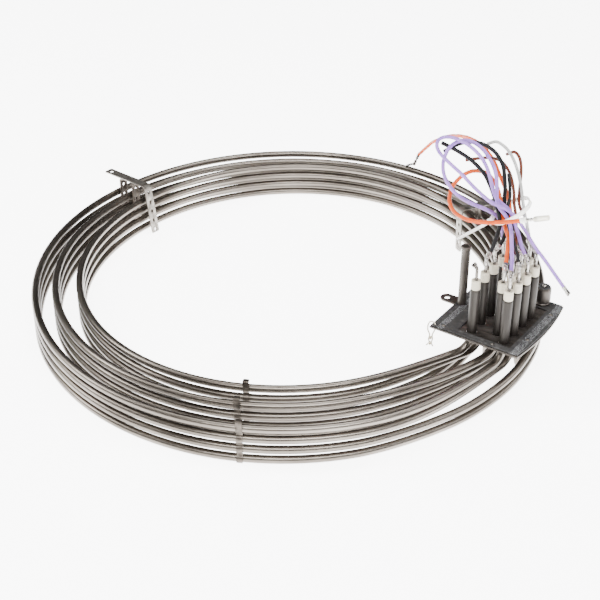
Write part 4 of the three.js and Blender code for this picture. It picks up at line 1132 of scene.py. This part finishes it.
def rubber():
    """Moulded black rubber with a dull bloom."""
    material, nodes, links, shader = material_start("moulded_rubber")
    place = nodes.new("ShaderNodeTexCoord")
    bloom = mottle(nodes, links, place.outputs["Object"], 300, 4)
    paint(nodes, links, shader, "Base Color", bloom,
          (0.3, (0.012, 0.012, 0.012)), (0.7, (0.03, 0.03, 0.03)))
    shader.inputs["Roughness"].default_value = 0.55
    relief(nodes, links, shader, bloom, 0.2, 0.0002)
    return material


POST = (0.226, 0.007)
grid, faces = turned([(0.0001, 0.0623), (0.0044, 0.0623), (0.0047, 0.0627), (0.0047, 0.1305),
                      (0.0049, 0.1312), (0.0056, 0.132), (0.0056, 0.1346), (0.0053, 0.135),
                      (0.0039, 0.135), (0.0036, 0.1346), (0.0036, 0.0665), (0.0001, 0.0663)], 40)
piece("sensor_pocket_tube", [(on_flange(grid + [*POST, 0]), faces)], satin_pocket(),
      ["sensor_pocket"])
GLAND = (0.2975, 0.058)
grid, faces = turned([(0.0027, 0.0623), (0.0078, 0.0623), (0.0083, 0.0628), (0.0083, 0.0655),
                      (0.0076, 0.0662), (0.0076, 0.0672), (0.0083, 0.068), (0.0083, 0.0812),
                      (0.0079, 0.0829), (0.0071, 0.0842), (0.0071, 0.0818), (0.0027, 0.0815)], 44, ring=True)
weld(piece("gland_steel_body", [(on_flange(grid + [*GLAND, 0]), faces)], plate_steel,
           ["gland_body"]))
grid, faces = turned([(0.0026, 0.0818), (0.0066, 0.0818), (0.007, 0.0822), (0.007, 0.084), (0.0064, 0.0849),
                      (0.0048, 0.0851), (0.0033, 0.0848), (0.0026, 0.084)], 40, ring=True)
weld(piece("gland_rubber_ring", [(on_flange(grid + [*GLAND, 0]), faces)], rubber(), ["gland_seal"]))
grid, faces = turned([(0.0021, 0.0623), (0.0021, 0.0862), (0.0018, 0.0868), (0.001, 0.087)], 24)
piece("gland_plated_pin", [(on_flange(grid + [*GLAND, 0]), faces)], tin, ["gland_pin"])

# ---------------------------------------------------------------- brackets

# Perforated galvanised strap, 12 by 1.5 mm: a bar laid across the groups and folded down at its
# inner end, with two straps hung from it between the groups to keep them apart.


def galvanised(name, light, dark):
    """Galvanised strap: soft grey with cloudy spangle."""
    material, nodes, links, shader = material_start(name)
    place = nodes.new("ShaderNodeTexCoord")
    spangle = mottle(nodes, links, place.outputs["Object"], 130, 4)
    paint(nodes, links, shader, "Base Color", spangle, (0.32, dark), (0.64, light))
    paint(nodes, links, shader, "Roughness", spangle, (0.3, grey(0.5)), (0.7, grey(0.33)))
    shader.inputs["Metallic"].default_value = 0.9
    relief(nodes, links, shader, mottle(nodes, links, place.outputs["Object"], 520, 3), 0.15, 0.0002)
    return material


strap = galvanised("galvanised_strap", (0.26, 0.24, 0.215), (0.1, 0.088, 0.076))
dark_strap = galvanised("scorched_strap", (0.2, 0.17, 0.145), (0.08, 0.066, 0.055))
STRAP_WIDTH, STRAP_THICK = 0.012, 0.0015
BRACKET_CENTRE = np.array([0.0021, 0.0093, 0]) + RING_SHIFT
BRACKETS = {
    "left": dict(angle=140.6, top=0.064, inner=0.24, outer=0.313, foot=0.2295, hangers=(0.2635, 0.2858)),
    "right": dict(angle=24.6, top=0.06, inner=0.231, outer=0.304, foot=0.2325, hangers=(0.259, 0.278)),
}


def folded_line(corners, bend):
    """A line through the corners with each inner corner rounded: a quadratic curve that starts
    and ends the given distance from the corner."""
    corners = np.array(corners, float)
    t = np.linspace(0, 1, 7)[:, None]
    out = [corners[:1]]
    for before, at, after in zip(corners, corners[1:], corners[2:]):
        a = at + (before - at) / np.linalg.norm(before - at) * bend
        b = at + (after - at) / np.linalg.norm(after - at) * bend
        out.append((1 - t) ** 2 * a + 2 * t * (1 - t) * at + t**2 * b)
    return np.vstack([*out, corners[-1:]])


def strap_piece(name, line, holes, width, thickness, angle, centre, material, replaces=()):
    """A strap cut flat along X, then folded to a line of (radius, height) pairs and stood at an
    angle about a centre. Holes are (distance along, radius, stretch)."""
    run = np.concatenate([[0], np.cumsum(np.linalg.norm(np.diff(line, axis=0), axis=1))])
    way = np.gradient(line, run, axis=0)
    way /= np.linalg.norm(way, axis=1)[:, None]
    half, r = width / 2, min(0.0018, width / 4)
    turn = np.linspace(0, math.pi / 2, 5)
    quarter = np.column_stack([np.cos(turn), np.sin(turn)]) * r
    far = quarter + [run[-1] - r, half - r]
    near = (quarter * [-1, 1] + [r, half - r])[::-1]
    upper_edge = np.vstack([far, near])
    outline = np.vstack([upper_edge, (upper_edge * [1, -1])[::-1]])
    cut_holes = [circle(20) * [radius * stretch, radius] + [along, 0] for along, radius, stretch in holes]
    mesh = flat_sheet(outline, cut_holes, thickness, min(0.0002, thickness / 4))
    c, s = math.cos(angle), math.sin(angle)

    def fold(p):
        radius = np.interp(p[:, 0], run, line[:, 0])
        height = np.interp(p[:, 0], run, line[:, 1])
        wr, wz = np.interp(p[:, 0], run, way[:, 0]), np.interp(p[:, 0], run, way[:, 1])
        size = np.hypot(wr, wz)
        radius, height = radius - wz / size * p[:, 2], height + wr / size * p[:, 2]
        across = p[:, 1]
        return np.column_stack([radius * c - across * s, radius * s + across * c, height]) + centre

    return sheet_piece(name, mesh, fold, material, replaces, cuts=run[1:-1], smooth_angle=40)


for side, b in BRACKETS.items():
    angle = math.radians(b["angle"])
    t = STRAP_THICK
    level = b["top"] - t / 2
    corners = [(b["outer"], level), (b["inner"] + 0.0004, level), (b["foot"] + t / 2, 0.0002)]
    line = folded_line(corners, 0.004)
    run = np.concatenate([[0], np.cumsum(np.linalg.norm(np.diff(line, axis=0), axis=1))])
    drop = b["outer"] - b["inner"]
    holes = [(drop + 0.0072 + i * 0.0128, 0.0017, 1.45) for i in range(5)] + [(0.007, 0.0026, 1.0)]
    strap_piece(f"{side}_bracket_bar_strap", line, holes, STRAP_WIDTH, t, angle, BRACKET_CENTRE, strap,
                [f"{side}_bracket_bar"])
    for i, radius in enumerate(b["hangers"]):
        high = b["top"] - t - 0.0003 - t / 2
        line = folded_line([(radius - 0.007, high), (radius - t / 2, high), (radius - t / 2, 0.002)], 0.002)
        holes = [(0.0145 + k * 0.0127, 0.0017, 1.45) for k in range(4)]
        name = f"{side}_bracket_hanger_{i + 1}"
        strap_piece(name + "_strap", line, holes, STRAP_WIDTH, t, angle, BRACKET_CENTRE, dark_strap, [name])

# ---------------------------------------------------------------- front clips

# Spring-steel clips pressed on the outside of each group: corrugated so that each tube sits in its
# own bay, and hooked over the top tube.

clip_steel = galvanised("spring_steel", (0.12, 0.103, 0.087), (0.03, 0.025, 0.02))
CLIP_ANGLES = {"outer": -98.6, "middle": -99.7, "inner": -99.2}
CLIP_WIDTH, CLIP_THICK, CLIP_VALLEY = 0.0065, 0.0009, 0.0016
face = TUBE_RADIUS + 0.0003 + CLIP_THICK / 2
highest = TUBE_RADIUS + 3 * LAYER_PITCH
heights = np.linspace(0.0006, highest, 61)
off_centre = (heights - TUBE_RADIUS + LAYER_PITCH / 2) % LAYER_PITCH - LAYER_PITCH / 2
bays = np.sqrt(np.maximum(face**2 - off_centre**2, CLIP_VALLEY**2))
hook_top = highest + TUBE_RADIUS + 0.0065 - CLIP_THICK / 2
hook = folded_line([(face, highest + 0.001), (face, hook_top), (face - 0.0052, hook_top)], 0.001)
clip_line = np.vstack([np.column_stack([bays, heights]), hook])
for group, degrees in CLIP_ANGLES.items():
    place, way = ring_points(group, np.array([math.radians(degrees)]), 0)
    outward = math.atan2(way[0, 0], -way[0, 1])
    strap_piece(group + "_clip_strip", clip_line, [], CLIP_WIDTH, CLIP_THICK, outward, place[0], clip_steel,
                [group + "_clip"])
